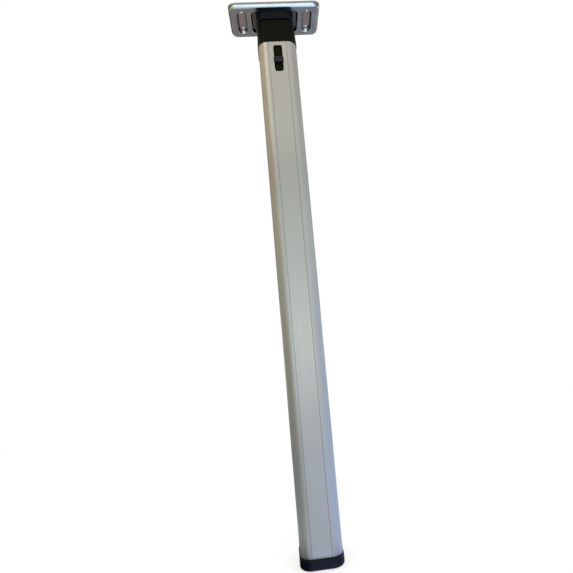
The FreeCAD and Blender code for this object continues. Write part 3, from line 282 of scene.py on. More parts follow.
class LegFinishes(bpy.types.PropertyGroup):
    """Colours and gloss of the leg's materials."""

    tube_colour: colour_property("Tube", "Anodised tube", (0.378, 0.381, 0.354))
    tube_tint: colour_property("Tube tint", "Where the anodising is thicker", (0.365, 0.362, 0.335))
    # Painted reflection: a greener tint half way up the tube
    tube_middle_reflection: colour_property("Tube, middle", "Anodising half way up the tube", (0.375, 0.396, 0.372))
    tube_bare: colour_property("Tube, cut edges", "Bare metal round the thumb slot", (0.6, 0.6, 0.58))
    # Painted contact shade above the foot, and the painted shadow line at the joint
    tube_contact_shade: colour_property("Tube, grime", "Dirt that gathers above the foot", (0.022, 0.022, 0.014))
    tube_roughness: share_property("Tube roughness", "Satin of the anodised tube", 0.38)
    plate_colour: colour_property("Plate", "Zinc plated steel", (0.42, 0.415, 0.42))
    # Painted reflection tints of the plating: warm at one end, cool at the other, blue beside the cool end
    plate_reflection_warm: colour_property("Plate, warm", "Warm tint of the plating", (0.475, 0.435, 0.41))
    plate_reflection_cool: colour_property("Plate, cool", "Cool tint of the plating", (0.425, 0.50, 0.555))
    plate_reflection_blue: colour_property("Plate, blue", "Blue tint beside one end", (0.50, 0.63, 0.72))
    plate_recess: colour_property("Plate, recesses", "Floors of the outer recesses", (0.46, 0.41, 0.385))
    # Painted shade and reflection of the hinge block on the inner recess floors
    plate_block_shade_warm: colour_property("Plate, warm inner", "Inner recess, warm side", (0.185, 0.125, 0.084))
    plate_block_shade_cool: colour_property("Plate, cool inner", "Inner recess, cool side", (0.11, 0.15, 0.2))
    # Painted shade on the recess walls
    plate_wall_shade_warm: colour_property("Plate, warm walls", "Recess walls, warm side", (0.17, 0.135, 0.125))
    plate_wall_shade_cool: colour_property("Plate, cool walls", "Recess walls, cool side", (0.125, 0.14, 0.17))
    # Painted reflection tint on the rim's flank
    plate_rim_reflection: colour_property("Plate, rim", "Tint along the rim", (0.47, 0.515, 0.53))
    # Painted highlight along the rim's bend and on the lit fans of the recesses
    plate_highlight: colour_property("Plate, bend", "Burnished along the lower bend", (0.72, 0.86, 0.79))
    # Painted shade on the top of the rim's flank and in the screw holes at the back
    plate_crest_shade: colour_property("Plate, crest", "Top of the rim's flank", (0.17, 0.205, 0.225))
    # Painted shade on the upright edge of the rim
    plate_edge_shade: colour_property("Plate, edge", "Upright edge of the rim", (0.26, 0.255, 0.24))
    # Painted reflections on the flanks at the two ends, dark at one and bright at the other
    plate_end_reflection_warm: colour_property("Plate, warm end", "Flank at the warm end", (0.24, 0.24, 0.215))
    plate_end_reflection_cool: colour_property("Plate, cool end", "Flank at the cool end", (0.62, 0.57, 0.52))
    # Painted shade on the drawn corners
    plate_corner_shade: colour_property("Plate, corners", "Dulled on the drawn corners", (0.135, 0.16, 0.125))
    plate_roughness: share_property("Plate roughness", "Satin of the plating", 0.22)
    # The upper block's plastic is painted lighter and bluer than the head's, for the light on its face
    base_lit_colour: colour_property("Hinge base", "Moulded upper block", (0.0026, 0.004, 0.0058))
    head_colour: colour_property("Hinge head", "Moulded lower block", (0.0022, 0.0027, 0.0009))
    slide_colour: colour_property("Thumb slide", "Moulded thumb slide", (0.0075, 0.0085, 0.0135))
    foot_colour: colour_property("Foot", "Moulded foot cap", (0.0022, 0.0026, 0.008))
    inner_colour: colour_property("Inner mouldings", "Carriage and spring seat", (0.0043, 0.0049, 0.0022))


class LegSizes(bpy.types.PropertyGroup):
    """Sizes of the small pieces."""

    screw_head: length_property("Screw head", "Radius of a screw's head", 3.4)
    screw_rise: length_property("Screw rise", "Height of a screw's head", 2.1)
    thread_crest: length_property("Thread crest", "Outside radius of a screw's thread", 1.5)
    thread_root: length_property("Thread root", "Radius of a screw's core", 1.15)
    thread_pitch: length_property("Thread pitch", "Height of one turn of a screw's thread", 1.1)
    drive_reach: length_property("Drive reach", "Arms of the cross drive from its middle", 1.75)
    drive_width: length_property("Drive width", "Width of an arm of the cross drive", 0.75)
    drive_depth: length_property("Drive depth", "Depth of the cross drive", 1.3)
    stub_radius: length_property("Stub radius", "Radius of the broken mandrel in a blind rivet", 0.98)
    gate_radius: length_property("Gate mark", "Radius of the gate mark on the hinge head", 0.7)


class LegStudio(bpy.types.PropertyGroup):
    """Camera, even light and floor."""

    camera_place: FloatVectorProperty(
        name="Camera place", description="Where the camera stands", default=(-0.023425, -0.567595, 0.257553),
        subtype="TRANSLATION", unit="LENGTH",
    )
    camera_turn: FloatVectorProperty(
        name="Camera turn", description="How the camera is turned", subtype="EULER",
        default=tuple(math.radians(angle) for angle in (96.969241, 5.279327, -4.260907)),
    )
    camera_lens: FloatProperty(
        name="Lens", description="Focal length in millimetres", default=28.272, min=1.0
    )
    camera_shift: FloatVectorProperty(
        name="Shift", description="Shift of the frame", default=(-0.054173, -0.002495), size=2
    )
    ambient: share_property("Ambient", "Even light from all round", 0.45)
    floor_colour: colour_property("Floor", "Pale studio floor", (0.82, 0.82, 0.82))
    floor_lift: share_property("Floor lift", "How far the camera sees the floor raised towards white", 0.62)


def add_node(tree, kind, inputs=None, **settings):
    """A shader node with its settings, and its inputs set to values or linked to sockets."""
    node = tree.nodes.new("ShaderNode" + kind)
    for name, value in settings.items():
        setattr(node, name, value)
    for name, value in (inputs or {}).items():
        if isinstance(value, bpy.types.NodeSocket):
            tree.links.new(value, node.inputs[name])
        else:
            node.inputs[name].default_value = value
    return node


def math_node(tree, operation, *values):
    """The output of a Math node over sockets and numbers."""
    return add_node(tree, "Math", dict(enumerate(values)), operation=operation).outputs[0]


def minus(tree, first, second):
    """One value less another."""
    return math_node(tree, "SUBTRACT", first, second)


def product(tree, result, *others):
    """Several values multiplied."""
    for other in others:
        result = math_node(tree, "MULTIPLY", result, other)
    return result


def map_range(tree, value, low, high, to_low=0.0, to_high=1.0):
    """A value moved from one range to another, held within it."""
    inputs = {"Value": value, "From Min": low, "From Max": high, "To Min": to_low, "To Max": to_high}
    return add_node(tree, "MapRange", inputs, clamp=True).outputs["Result"]


def spread(tree, mask, to_low, to_high):
    """A mask moved to another range."""
    return map_range(tree, mask, 0.0, 1.0, to_low, to_high)


def rise(tree, value, steps, to_low=0.0, to_high=1.0):
    """A soft step up between two lengths in millimetres."""
    start, end = steps
    return map_range(tree, value, start * MM, end * MM, to_low, to_high)


def fall(tree, value, steps):
    """A soft step down between two lengths in millimetres."""
    return rise(tree, value, steps, 1.0, 0.0)


def band(tree, value, start, end, soft):
    """1 between two values, with soft ends."""
    up = map_range(tree, value, start - soft, start + soft)
    down = map_range(tree, value, end - soft, end + soft, 1.0, 0.0)
    return product(tree, up, down)


def past_span(tree, value, half):
    """How far a value lies beyond a span about zero, and 0 within it."""
    beyond = minus(tree, math_node(tree, "ABSOLUTE", value), half)
    return math_node(tree, "MAXIMUM", beyond, 0.0)


def flat_length(tree, first, second):
    """Length of a step given by its two components."""
    step = add_node(tree, "CombineXYZ", {"X": first, "Y": second}).outputs[0]
    return add_node(tree, "VectorMath", {0: step}, operation="LENGTH").outputs["Value"]


def opaque(colour):
    """A plain colour with its alpha. A socket stays as it is."""
    return colour if isinstance(colour, bpy.types.NodeSocket) else (*colour, 1.0)


def lighter(colour, factor):
    """A colour multiplied, and held within white."""
    return tuple(min(1.0, factor * channel) for channel in colour)


def mix_colours(tree, share, first, second):
    """Two colours mixed, each a socket or a plain colour."""
    inputs = {0: share, 6: opaque(first), 7: opaque(second)}
    return add_node(tree, "Mix", inputs, data_type="RGBA").outputs[2]


def scale_colour(tree, colour, factor):
    """A colour made lighter or darker by a factor."""
    return add_node(tree, "VectorMath", {0: colour, 3: factor}, operation="SCALE").outputs[0]


def on_piece(tree):
    """A point's place on its piece."""
    return add_node(tree, "TexCoord").outputs["Object"]


def object_place(tree):
    """The X, Y and Z outputs of a point's place on its piece."""
    return add_node(tree, "SeparateXYZ", {0: on_piece(tree)}).outputs


def noise(tree, place, scale, detail):
    """Soft noise from 0 to 1."""
    inputs = {"Vector": place, "Scale": scale, "Detail": detail}
    return add_node(tree, "TexNoise", inputs).outputs["Fac"]


def new_group(name, inputs, outputs):
    """An empty shader node group with named sockets, and its group input and output nodes."""
    tree = bpy.data.node_groups.new(name, "ShaderNodeTree")
    for socket, kind, default in inputs:
        made = tree.interface.new_socket(socket, in_out="INPUT", socket_type="NodeSocket" + kind)
        made.default_value = default
    for socket, kind in outputs:
        tree.interface.new_socket(socket, in_out="OUTPUT", socket_type="NodeSocket" + kind)
    return tree, tree.nodes.new("NodeGroupInput"), tree.nodes.new("NodeGroupOutput")


def make_drawn_grain():
    """Fine lines that run one way over a surface, as extrusion, rolling or turning leaves them."""
    tree, given, made = new_group(
        "drawn_grain",
        [("Across", "Vector", (900.0, 900.0, 6.0)), ("Contrast", "Float", 0.5)],
        [("Lines", "Float"), ("Height", "Float")],
    )
    inputs = {0: on_piece(tree), 1: given.outputs["Across"]}
    stretched = add_node(tree, "VectorMath", inputs, operation="MULTIPLY").outputs[0]
    fine = noise(tree, stretched, scale=1.0, detail=3.0)
    broad = noise(tree, stretched, scale=0.16, detail=2.0)
    both = math_node(tree, "ADD", fine, broad)
    half = product(tree, given.outputs["Contrast"], 0.5)
    lines = map_range(tree, both, minus(tree, 1.0, half), math_node(tree, "ADD", 1.0, half))
    tree.links.new(lines, made.inputs["Lines"])
    tree.links.new(fine, made.inputs["Height"])
    return tree


def make_cloudy_mask():
    """Soft patches, for tints and for uneven gloss."""
    tree, given, made = new_group(
        "cloudy_mask",
        [("Scale", "Float", 20.0), ("Low", "Float", 0.35), ("High", "Float", 0.65)],
        [("Mask", "Float")],
    )
    cloud = noise(tree, on_piece(tree), given.outputs["Scale"], detail=4.0)
    mask = map_range(tree, cloud, given.outputs["Low"], given.outputs["High"])
    tree.links.new(mask, made.inputs["Mask"])
    return tree


def make_moulded_skin():
    """Fine spark-eroded texture of a moulding tool."""
    tree, given, made = new_group(
        "moulded_skin", [("Scale", "Float", 1800.0)], [("Height", "Float"), ("Mottle", "Float")]
    )
    scale = given.outputs["Scale"]
    place = on_piece(tree)
    pits = add_node(tree, "TexVoronoi", {"Vector": place, "Scale": scale}, feature="SMOOTH_F1")
    grain = noise(tree, place, product(tree, scale, 0.5), detail=3.0)
    height = math_node(tree, "ADD", pits.outputs["Distance"], grain)
    tree.links.new(height, made.inputs["Height"])
    cloud = noise(tree, place, scale=45.0, detail=5.0)
    tree.links.new(map_range(tree, cloud, low=0.35, high=0.65), made.inputs["Mottle"])
    return tree


def make_scuffs():
    """Sparse thin scratches in two directions."""
    tree, given, made = new_group(
        "scuffs", [("Scale", "Float", 60.0), ("Amount", "Float", 0.3)], [("Mask", "Float")]
    )
    place = on_piece(tree)
    drawn_out = (14.0, 1.0, 1.0)
    masks = []
    for turn in ((0.35, 0.5, 0.2), (-0.5, 0.25, 1.1)):
        inputs = {"Vector": place, "Rotation": turn, "Scale": drawn_out}
        turned = add_node(tree, "Mapping", inputs).outputs[0]
        streaks = noise(tree, turned, given.outputs["Scale"], detail=2.0)
        masks.append(map_range(tree, streaks, low=0.68, high=0.74))
    both = math_node(tree, "MAXIMUM", *masks)
    tree.links.new(product(tree, both, given.outputs["Amount"]), made.inputs["Mask"])
    return tree


GROUP_MAKERS = {
    "drawn_grain": make_drawn_grain,
    "cloudy_mask": make_cloudy_mask,
    "moulded_skin": make_moulded_skin,
    "scuffs": make_scuffs,
}


def place_group(tree, name, **inputs):
    """The outputs of a node group placed in a material, made on first use. Its inputs are in lower case."""
    node = tree.nodes.new("ShaderNodeGroup")
    node.node_tree = bpy.data.node_groups.get(name) or GROUP_MAKERS[name]()
    for socket in node.inputs:
        key = socket.name.lower()
        if key in inputs:
            socket.default_value = inputs[key]
    return node.outputs


def empty_material(name):
    """A material with no nodes yet, and its tree."""
    material = bpy.data.materials.new(name)
    material.use_nodes = True
    material.node_tree.nodes.clear()
    return material, material.node_tree


def new_material(name, metallic=0.0):
    """A material with a Principled shader, its tree and the shader."""
    material, tree = empty_material(name)
    shader = add_node(tree, "BsdfPrincipled", {"Metallic": metallic})
    add_node(tree, "OutputMaterial", {"Surface": shader.outputs[0]})
    return material, tree, shader


def link_looks(tree, shader, colour, roughness):
    """Feed a shader its colour and its roughness."""
    tree.links.new(colour, shader.inputs["Base Color"])
    tree.links.new(roughness, shader.inputs["Roughness"])


def link_bump(tree, shader, height, depth, strength):
    """Relief of the given depth in metres on the shader's normal."""
    bump = add_node(tree, "Bump", {"Height": height, "Distance": depth, "Strength": strength})
    tree.links.new(bump.outputs["Normal"], shader.inputs["Normal"])


def scuffed_roughness(tree, rough, scuffs, amount):
    """Roughness that rises where the surface is scratched."""
    return math_node(tree, "ADD", rough, product(tree, scuffs["Mask"], amount))


def dress(nodes, material):
    """Give CAD nodes a material in place of their plain one."""
    for name in nodes:
        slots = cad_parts[name].data.materials
        slots.clear()
        slots.append(material)


def slot_edge_mask(tree, spot, low, high):
    """The cut edges of the thumb slot, on the front of the tube."""
    from_slot = minus(tree, spot["Z"], high.z - SLOT_DROP - SLOT_HEIGHT / 2)
    past_side = past_span(tree, spot["X"], SLOT_WIDTH / 2 - SLOT_CORNER)
    past_end = past_span(tree, from_slot, SLOT_HEIGHT / 2 - SLOT_CORNER)
    outside = minus(tree, flat_length(tree, past_side, past_end), SLOT_CORNER)
    front = fall(tree, minus(tree, spot["Y"], low.y), TUBE_STEPS.front)
    return product(tree, fall(tree, outside, TUBE_STEPS.bare_edge), front)


def make_anodised(finishes):
    """Satin champagne anodising with drawn lines, bare edges round the slot, and painted light: a reflection
    tint and a shaded band part way up, and contact shade and a shadow line above the foot.
    """
    material, tree, shader = new_material("anodised_tube", metallic=1.0)
    grain = place_group(tree, "drawn_grain", across=(1400.0, 1400.0, 3.0), contrast=0.9)
    cloud = place_group(tree, "cloudy_mask", scale=14.0, low=0.3, high=0.7)
    patches = place_group(tree, "cloudy_mask", scale=120.0, low=0.25, high=0.6)
    scuffs = place_group(tree, "scuffs", scale=70.0, amount=0.5)
    spot = object_place(tree)
    low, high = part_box("leg_tube")
    tinted = mix_colours(tree, cloud["Mask"], finishes.tube_colour, finishes.tube_tint)
    # Painted reflection tint half way up the tube, and a band of painted shade near its top
    cast = mix_colours(tree, band(tree, spot["Z"], *TUBE_MIDDLE), tinted, finishes.tube_middle_reflection)
    painted_band_shade = product(tree, band(tree, spot["Z"], *TUBE_SHADED_BAND), SHADED_BAND_LOSS)
    lines = product(tree, spread(tree, grain["Lines"], *TUBE_STREAKS), minus(tree, 1.0, painted_band_shade))
    streaked = scale_colour(tree, cast, lines)
    bared = mix_colours(tree, slot_edge_mask(tree, spot, low, high), streaked, finishes.tube_bare)
    # Painted contact shade above the foot, in patches, and a painted shadow line at the joint with the foot
    above_foot = minus(tree, spot["Z"], low.z)
    shade_falloff = math_node(tree, "POWER", fall(tree, above_foot, TUBE_STEPS.contact_shade), 2.0)
    patchy_shade = product(tree, shade_falloff, spread(tree, patches["Mask"], *CONTACT_SHADE_PATCHES))
    contact_shading = math_node(tree, "MAXIMUM", patchy_shade, fall(tree, above_foot, TUBE_STEPS.seam))
    foot_shaded = mix_colours(tree, contact_shading, bared, finishes.tube_contact_shade)
    satin = finishes.tube_roughness
    rough = spread(tree, grain["Lines"], satin + 0.03, satin - 0.03)
    link_looks(tree, shader, foot_shaded, scuffed_roughness(tree, rough, scuffs, 0.12))
    link_bump(tree, shader, grain["Height"], depth=0.01 * MM, strength=0.5)
    return material


def plate_places(tree):
    """Sockets that say where a point lies on the plate, for the masks of its tints and painted light."""
    spot = object_place(tree)
    low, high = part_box("mounting_plate")
    normal = add_node(tree, "TexCoord").outputs["Normal"]
    facing = add_node(tree, "SeparateXYZ", {0: normal}).outputs["Z"]
    aside = math_node(tree, "ABSOLUTE", spot["X"])
    along = math_node(tree, "ABSOLUTE", spot["Y"])
    return SimpleNamespace(
        across=map_range(tree, spot["X"], low.x, high.x),
        back=spot["Y"],
        aside=aside,
        along=along,
        above=minus(tree, spot["Z"], low.z),
        from_end=minus(tree, high.x, aside),
        from_side=minus(tree, high.y, along),
        below=map_range(tree, facing, *FACING_DOWN, 1.0, 0.0),
    )


def recess_masks(tree, place):
    """Two masks for the four long recesses: painted shade on their drawn walls, and a painted highlight on
    the lit fans on their sloping ends.
    """
    steps = PLATE_STEPS
    above = place.above
    from_outer = minus(tree, place.aside, OUTER_RECESS)
    from_inner = minus(tree, place.aside, INNER_RECESS)
    distances = [math_node(tree, "ABSOLUTE", step) for step in (from_outer, from_inner)]
    offset = math_node(tree, "MINIMUM", *distances)
    straight = fall(tree, place.along, steps.straight)
    sides = product(
        tree, rise(tree, offset, steps.wall_inside), fall(tree, offset, steps.wall_outside), straight
    )
    slope = product(tree, rise(tree, above, steps.slope_low), fall(tree, above, steps.slope_high))
    ends = product(tree, rise(tree, offset, steps.end_inside), fall(tree, offset, steps.end_outside))
    walls = math_node(tree, "MAXIMUM", sides, product(tree, slope, ends))
    shade = rise(tree, from_outer, steps.wall_shade, *WALL_SHADES)
    outer_only = rise(tree, from_outer, steps.outer_only)
    width = rise(tree, above, steps.fan_height, *FAN_WIDTHS)
    fans = rise(tree, minus(tree, offset, width), steps.fan_side, FAN_SHARE, 0.0)
    return product(tree, walls, shade, outer_only), product(tree, slope, fans)


def underside_colour(tree, finishes, place, cloud):
    """Plating inside the rim: painted reflection tints from end to end, painted shade on the recess walls,
    beside the block and in the screw holes at the back, and painted highlights on the lit fans.
    """
    steps = PLATE_STEPS
    # Painted reflection tints from end to end, with a blue reflection beside the cool end
    end_to_end = mix_colours(tree, place.across, finishes.plate_reflection_warm, finishes.plate_reflection_cool)
    tint = mix_colours(tree, map_range(tree, place.across, *BLUE_END), end_to_end, finishes.plate_reflection_blue)
    plain = mix_colours(tree, cloud, tint, finishes.plate_colour)
    # Painted shade and reflection of the hinge block on the inner recess floors
    inner = mix_colours(tree, place.across, finishes.plate_block_shade_warm, finishes.plate_block_shade_cool)
    floors = mix_colours(tree, fall(tree, place.aside, steps.beside_block), finishes.plate_recess, inner)
    sunk = product(tree, rise(tree, place.above, steps.recess_floor), place.below)
    pressed = mix_colours(tree, sunk, plain, floors)
    # Painted shade on the recess walls, and a painted highlight on the lit fans
    walls, fans = (product(tree, mask, place.below) for mask in recess_masks(tree, place))
    dull_and_shade = mix_colours(tree, place.across, finishes.plate_wall_shade_warm, finishes.plate_wall_shade_cool)
    walled = mix_colours(tree, walls, pressed, dull_and_shade)
    fanned = mix_colours(tree, fans, walled, finishes.plate_highlight)
    # The bores of the screw holes at the back are painted darker as shade
    from_screw = flat_length(
        tree, minus(tree, place.aside, OUTER_RECESS), minus(tree, place.along, SCREW_HOLE)
    )
    behind = rise(tree, place.back, steps.back_half)
    bore = mix_colours(tree, behind, finishes.plate_colour, finishes.plate_crest_shade)
    return mix_colours(tree, fall(tree, from_screw, steps.bore), fanned, bore)


def rim_colour(tree, finishes, place, inside):
    """Plating of the rolled rim round the colour inside, with painted light: a reflection tint and a
    highlight along its bend, shade on its crest, corners and upright edge, and reflections on its ends.
    """
    steps = PLATE_STEPS
    # Painted highlight along the rim's bend, and painted shade on its crest
    bent = mix_colours(tree, fall(tree, place.above, steps.bend), finishes.plate_rim_reflection, finishes.plate_highlight)
    rolled = mix_colours(tree, rise(tree, place.above, steps.crest), bent, finishes.plate_crest_shade)
    # Painted reflection tint on the rim's flank
    rim = product(tree, fall(tree, place.from_side, steps.rim), place.below)
    rimmed = mix_colours(tree, rim, inside, rolled)
    # Painted reflections on the flanks at the two ends, dark at one and bright at the other
    flank = mix_colours(tree, place.across, finishes.plate_end_reflection_warm, finishes.plate_end_reflection_cool)
    ended = mix_colours(tree, fall(tree, place.from_end, steps.end), rimmed, flank)
    # Painted shade on the drawn corners
    slant = rise(tree, place.above, steps.corner_slant, *CORNER_SLANTS)
    reach = math_node(tree, "ADD", spread(tree, place.across, *CORNER_REACHES), slant)
    corner = product(
        tree, rise(tree, minus(tree, reach, place.from_end), steps.corner_end),
        fall(tree, place.from_side, steps.corner_side),
    )
    cornered = mix_colours(tree, corner, ended, finishes.plate_corner_shade)
    # Painted shade on the upright edge of the rim
    from_rim = math_node(tree, "MINIMUM", place.from_end, place.from_side)
    edge = product(tree, rise(tree, place.above, steps.edge), fall(tree, from_rim, steps.edge_inside))
    return mix_colours(tree, edge, cornered, finishes.plate_edge_shade)


def make_zinc(finishes):
    """Bright zinc plating, with painted reflections, highlights and shade in the recesses and along the rim.
    """
    material, tree, shader = new_material("zinc_plate", metallic=1.0)
    shader.inputs["Specular Tint"].default_value = ZINC_SHEEN
    grain = place_group(tree, "drawn_grain", across=(12.0, 700.0, 700.0), contrast=0.8)
    cloud = place_group(tree, "cloudy_mask", scale=60.0, low=0.35, high=0.65)["Mask"]
    scuffs = place_group(tree, "scuffs", scale=110.0, amount=0.6)
    place = plate_places(tree)
    colour = rim_colour(tree, finishes, place, underside_colour(tree, finishes, place, cloud))
    streaked = scale_colour(tree, colour, spread(tree, grain["Lines"], *PLATE_STREAKS))
    satin = finishes.plate_roughness
    rough = spread(tree, cloud, satin - 0.05, satin + 0.05)
    link_looks(tree, shader, streaked, scuffed_roughness(tree, rough, scuffs, 0.2))
    link_bump(tree, shader, grain["Height"], depth=0.002 * MM, strength=0.3)
    return material


def make_moulding(name, colour, roughness, gloss, rubbed=None):
    """Black moulded plastic with a fine eroded skin and light scuffs.

    Where it is rubbed, the skin is paler and smoother. That is given as an axis, a place on it where the
    rubbing starts and one where it is full.
    """
    material, tree, shader = new_material(name)
    shader.inputs["Specular IOR Level"].default_value = gloss
    skin = place_group(tree, "moulded_skin")
    scuffs = place_group(tree, "scuffs", scale=90.0, amount=0.6)
    scuffed = lighter(colour, SCUFFED)
    mottled = mix_colours(tree, skin["Mottle"], colour, lighter(colour, MOTTLED))
    worn = mix_colours(tree, scuffs["Mask"], mottled, scuffed)
    rough = spread(tree, skin["Mottle"], roughness - 0.04, roughness + 0.05)
    if rubbed:
        axis, start, full = rubbed
        reach = map_range(tree, object_place(tree)[axis], start, full)
        rub = product(tree, reach, spread(tree, skin["Mottle"], *RUB_PATCHES))
        worn = mix_colours(tree, rub, worn, scuffed)
        rough = minus(tree, rough, product(tree, rub, 0.1))
    link_looks(tree, shader, worn, rough)
    link_bump(tree, shader, skin["Height"], depth=0.03 * MM, strength=0.5)
    return material


def make_bare_metal(name, colour, dull_and_shade, roughness):
    """Plain metal with patches of duller surface and fine working marks."""
    material, tree, shader = new_material(name, metallic=1.0)
    cloud = place_group(tree, "cloudy_mask", scale=220.0, low=0.35, high=0.7)
    grain = place_group(tree, "drawn_grain", across=(500.0, 500.0, 500.0), contrast=0.8)
    colours = mix_colours(tree, cloud["Mask"], colour, dull_and_shade)
    rough = spread(tree, grain["Lines"], roughness - 0.06, roughness + 0.08)
    link_looks(tree, shader, colours, rough)
    link_bump(tree, shader, grain["Height"], depth=0.02 * MM, strength=0.4)
    return material


def make_nylon():
    """Natural nylon, slightly uneven."""
    material, tree, shader = new_material("natural_nylon")
    cloud = place_group(tree, "cloudy_mask", scale=300.0)
    colours = mix_colours(tree, cloud["Mask"], NYLON, NYLON_DULL)
    link_looks(tree, shader, colours, spread(tree, cloud["Mask"], 0.42, 0.52))
    return material


class LegOperator:
    """What every operator of the leg shares."""

    bl_options = {"REGISTER", "UNDO"}


class TABLELEG_OT_finish_plate(LegOperator, bpy.types.Operator):
    """Zinc plating on the pressed mounting plate"""

    bl_idname = "tableleg.finish_plate"
    bl_label = "Mounting plate"

    def execute(self, context):
        dress(["mounting_plate"], make_zinc(context.scene.leg_finishes))
        return {"FINISHED"}


class TABLELEG_OT_finish_hinge(LegOperator, bpy.types.Operator):
    """Moulded finish on the two hinge blocks"""

    bl_idname = "tableleg.finish_hinge"
    bl_label = "Hinge blocks"

    def execute(self, context):
        finishes = context.scene.leg_finishes
        # The upper block is painted lighter and bluer than the head, for the light on its face
        base = make_moulding("hinge_base_plastic", finishes.base_lit_colour, roughness=0.38, gloss=0.075)
        dress(["hinge_base"], base)
        head = make_moulding("hinge_head_plastic", finishes.head_colour, roughness=0.42, gloss=0.05)
        dress(["hinge_head"], head)
        return {"FINISHED"}


class TABLELEG_OT_finish_tube(LegOperator, bpy.types.Operator):
    """Anodised finish on the leg tube"""

    bl_idname = "tableleg.finish_tube"
    bl_label = "Leg tube"

    def execute(self, context):
        dress(["leg_tube"], make_anodised(context.scene.leg_finishes))
        return {"FINISHED"}


class TABLELEG_OT_finish_foot(LegOperator, bpy.types.Operator):
    """Moulded finish on the foot cap"""

    bl_idname = "tableleg.finish_foot"
    bl_label = "Foot cap"

    def execute(self, context):
        colour = context.scene.leg_finishes.foot_colour
        rubbed = ("Z", *FOOT_RUBBED)
        foot = make_moulding("foot_plastic", colour, roughness=0.34, gloss=0.17, rubbed=rubbed)
        dress(["foot_cap"], foot)
        return {"FINISHED"}


class TABLELEG_OT_finish_slide(LegOperator, bpy.types.Operator):
    """Moulded finish on the thumb slide, its carriage and the spring seat"""

    bl_idname = "tableleg.finish_slide"
    bl_label = "Thumb slide"

    def execute(self, context):
        finishes = context.scene.leg_finishes
        colour = finishes.slide_colour
        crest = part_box("thumb_slide")[0].y
        rubbed = ("Y", *(crest + depth for depth in THUMB_RUBBED))
        thumb = make_moulding("thumb_plastic", colour, roughness=0.36, gloss=0.2, rubbed=rubbed)
        dress(["thumb_slide"], thumb)
        inner = make_moulding("inner_plastic", finishes.inner_colour, roughness=0.5, gloss=0.04)
        dress(["latch_carriage", "spring_seat"], inner)
        return {"FINISHED"}


class TABLELEG_OT_finish_hardware(LegOperator, bpy.types.Operator):
    """Metal and nylon of the small parts"""

    bl_idname = "tableleg.finish_hardware"
    bl_label = "Small parts"

    def execute(self, context):
        for name, colour, dull_and_shade, roughness, nodes in METALS:
            dress(nodes, make_bare_metal(name, colour, dull_and_shade, roughness))
        dress(["thrust_washers"], make_nylon())
        return {"FINISHED"}


def made_material(name):
    """A material that an earlier step made."""
    material = bpy.data.materials.get(name)
    if material is None:
        raise RuntimeError(f"the material {name} is made by another step, which comes first")
    return material


def add_object(name, work, material):
    """Turn finished work into an object of one material."""
    mesh = bpy.data.meshes.new(name)
    work.to_mesh(mesh)
    work.free()
    mesh.materials.append(material)
    made = bpy.data.objects.new(name, mesh)
    bpy.context.scene.collection.objects.link(made)
    return made


def new_piece(name, work, body, material):
    """Turn finished work into a piece that moves with a body."""
    bmesh.ops.remove_doubles(work, verts=work.verts, dist=SAME_POINT)
    bmesh.ops.recalc_face_normals(work, faces=work.faces)
    piece = add_object(name, work, material)
    piece.data.shade_smooth()
    piece.data.set_sharp_from_angle(angle=SHARP_EDGE)
    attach(piece, body)
    return piece


def only_verts(geometry):
    """The vertices among what a bmesh operator made."""
    return [item for item in geometry if isinstance(item, bmesh.types.BMVert)]


def all_geometry(work):
    """Everything in the work so far."""
    return work.verts[:] + work.edges[:] + work.faces[:]


def draw_profile(work, points):
    """A chain of edges through radius and height points. Gives what the spin operator takes."""
    verts = [work.verts.new((radius, 0.0, height)) for radius, height in points]
    return verts + [work.edges.new(pair) for pair in zip(verts, verts[1:])]


def turn_profile(work, points, steps):
    """Spin a profile of radius and height points once round the upright axis."""
    profile = draw_profile(work, points)
    bmesh.ops.spin(
        work, geom=profile, cent=ORIGIN, axis=UP, angle=math.tau, steps=steps, use_merge=True
    )


def turn_work(work, matrix):
    """Turn the work about the origin."""
    bmesh.ops.rotate(work, cent=ORIGIN, matrix=matrix, verts=work.verts)


def open_edges(work, height):
    """Border edges that lie at one height."""
    return [
        edge for edge in work.edges
        if edge.is_boundary and all(abs(vert.co.z - height) < AT_HEIGHT for vert in edge.verts)
    ]


def draw_in(work, edges, drop, share):
    """Extrude a border loop down, drawn in towards the axis."""
    made = only_verts(bmesh.ops.extrude_edge_only(work, edges=edges)["geom"])
    bmesh.ops.translate(work, vec=(0.0, 0.0, -drop), verts=made)
    bmesh.ops.scale(work, vec=(share, share, 1.0), verts=made)


def add_thread(work, sizes, start, end):
    """A screw thread between two heights on the upright axis, drawn to a point at its lower end."""
    pitch, root, crest = sizes.thread_pitch, sizes.thread_root, sizes.thread_crest
    point = POINT_LENGTH * crest
    turns = math.ceil((start - end) / pitch) + SPARE_TURNS
    top = start + pitch
    outline = ((root, 0.0), (root, FLANK_SHARE), (crest, CREST_SHARE), (root, 1.0))
    profile = draw_profile(work, [(radius, top - share * pitch) for radius, share in outline])
    bmesh.ops.spin(
        work, geom=profile, cent=ORIGIN, axis=UP, dvec=(0.0, 0.0, -pitch / THREAD_STEPS),
        angle=turns * math.tau, steps=turns * THREAD_STEPS,
    )
    bmesh.ops.remove_doubles(work, verts=work.verts, dist=SAME_POINT)
    for height, side in ((start, "clear_outer"), (end + point, "clear_inner")):
        bmesh.ops.bisect_plane(
            work, geom=all_geometry(work), dist=ON_CUT, plane_co=(0.0, 0.0, height), plane_no=UP,
            **{side: True},
        )
    tip = (1.0 - POINT_SHOULDER) * point
    draw_in(work, open_edges(work, end + point), POINT_SHOULDER * point, POINT_SHOULDER)
    draw_in(work, open_edges(work, end + tip), tip, POINT_TIP)
    bmesh.ops.holes_fill(work, edges=open_edges(work, end))


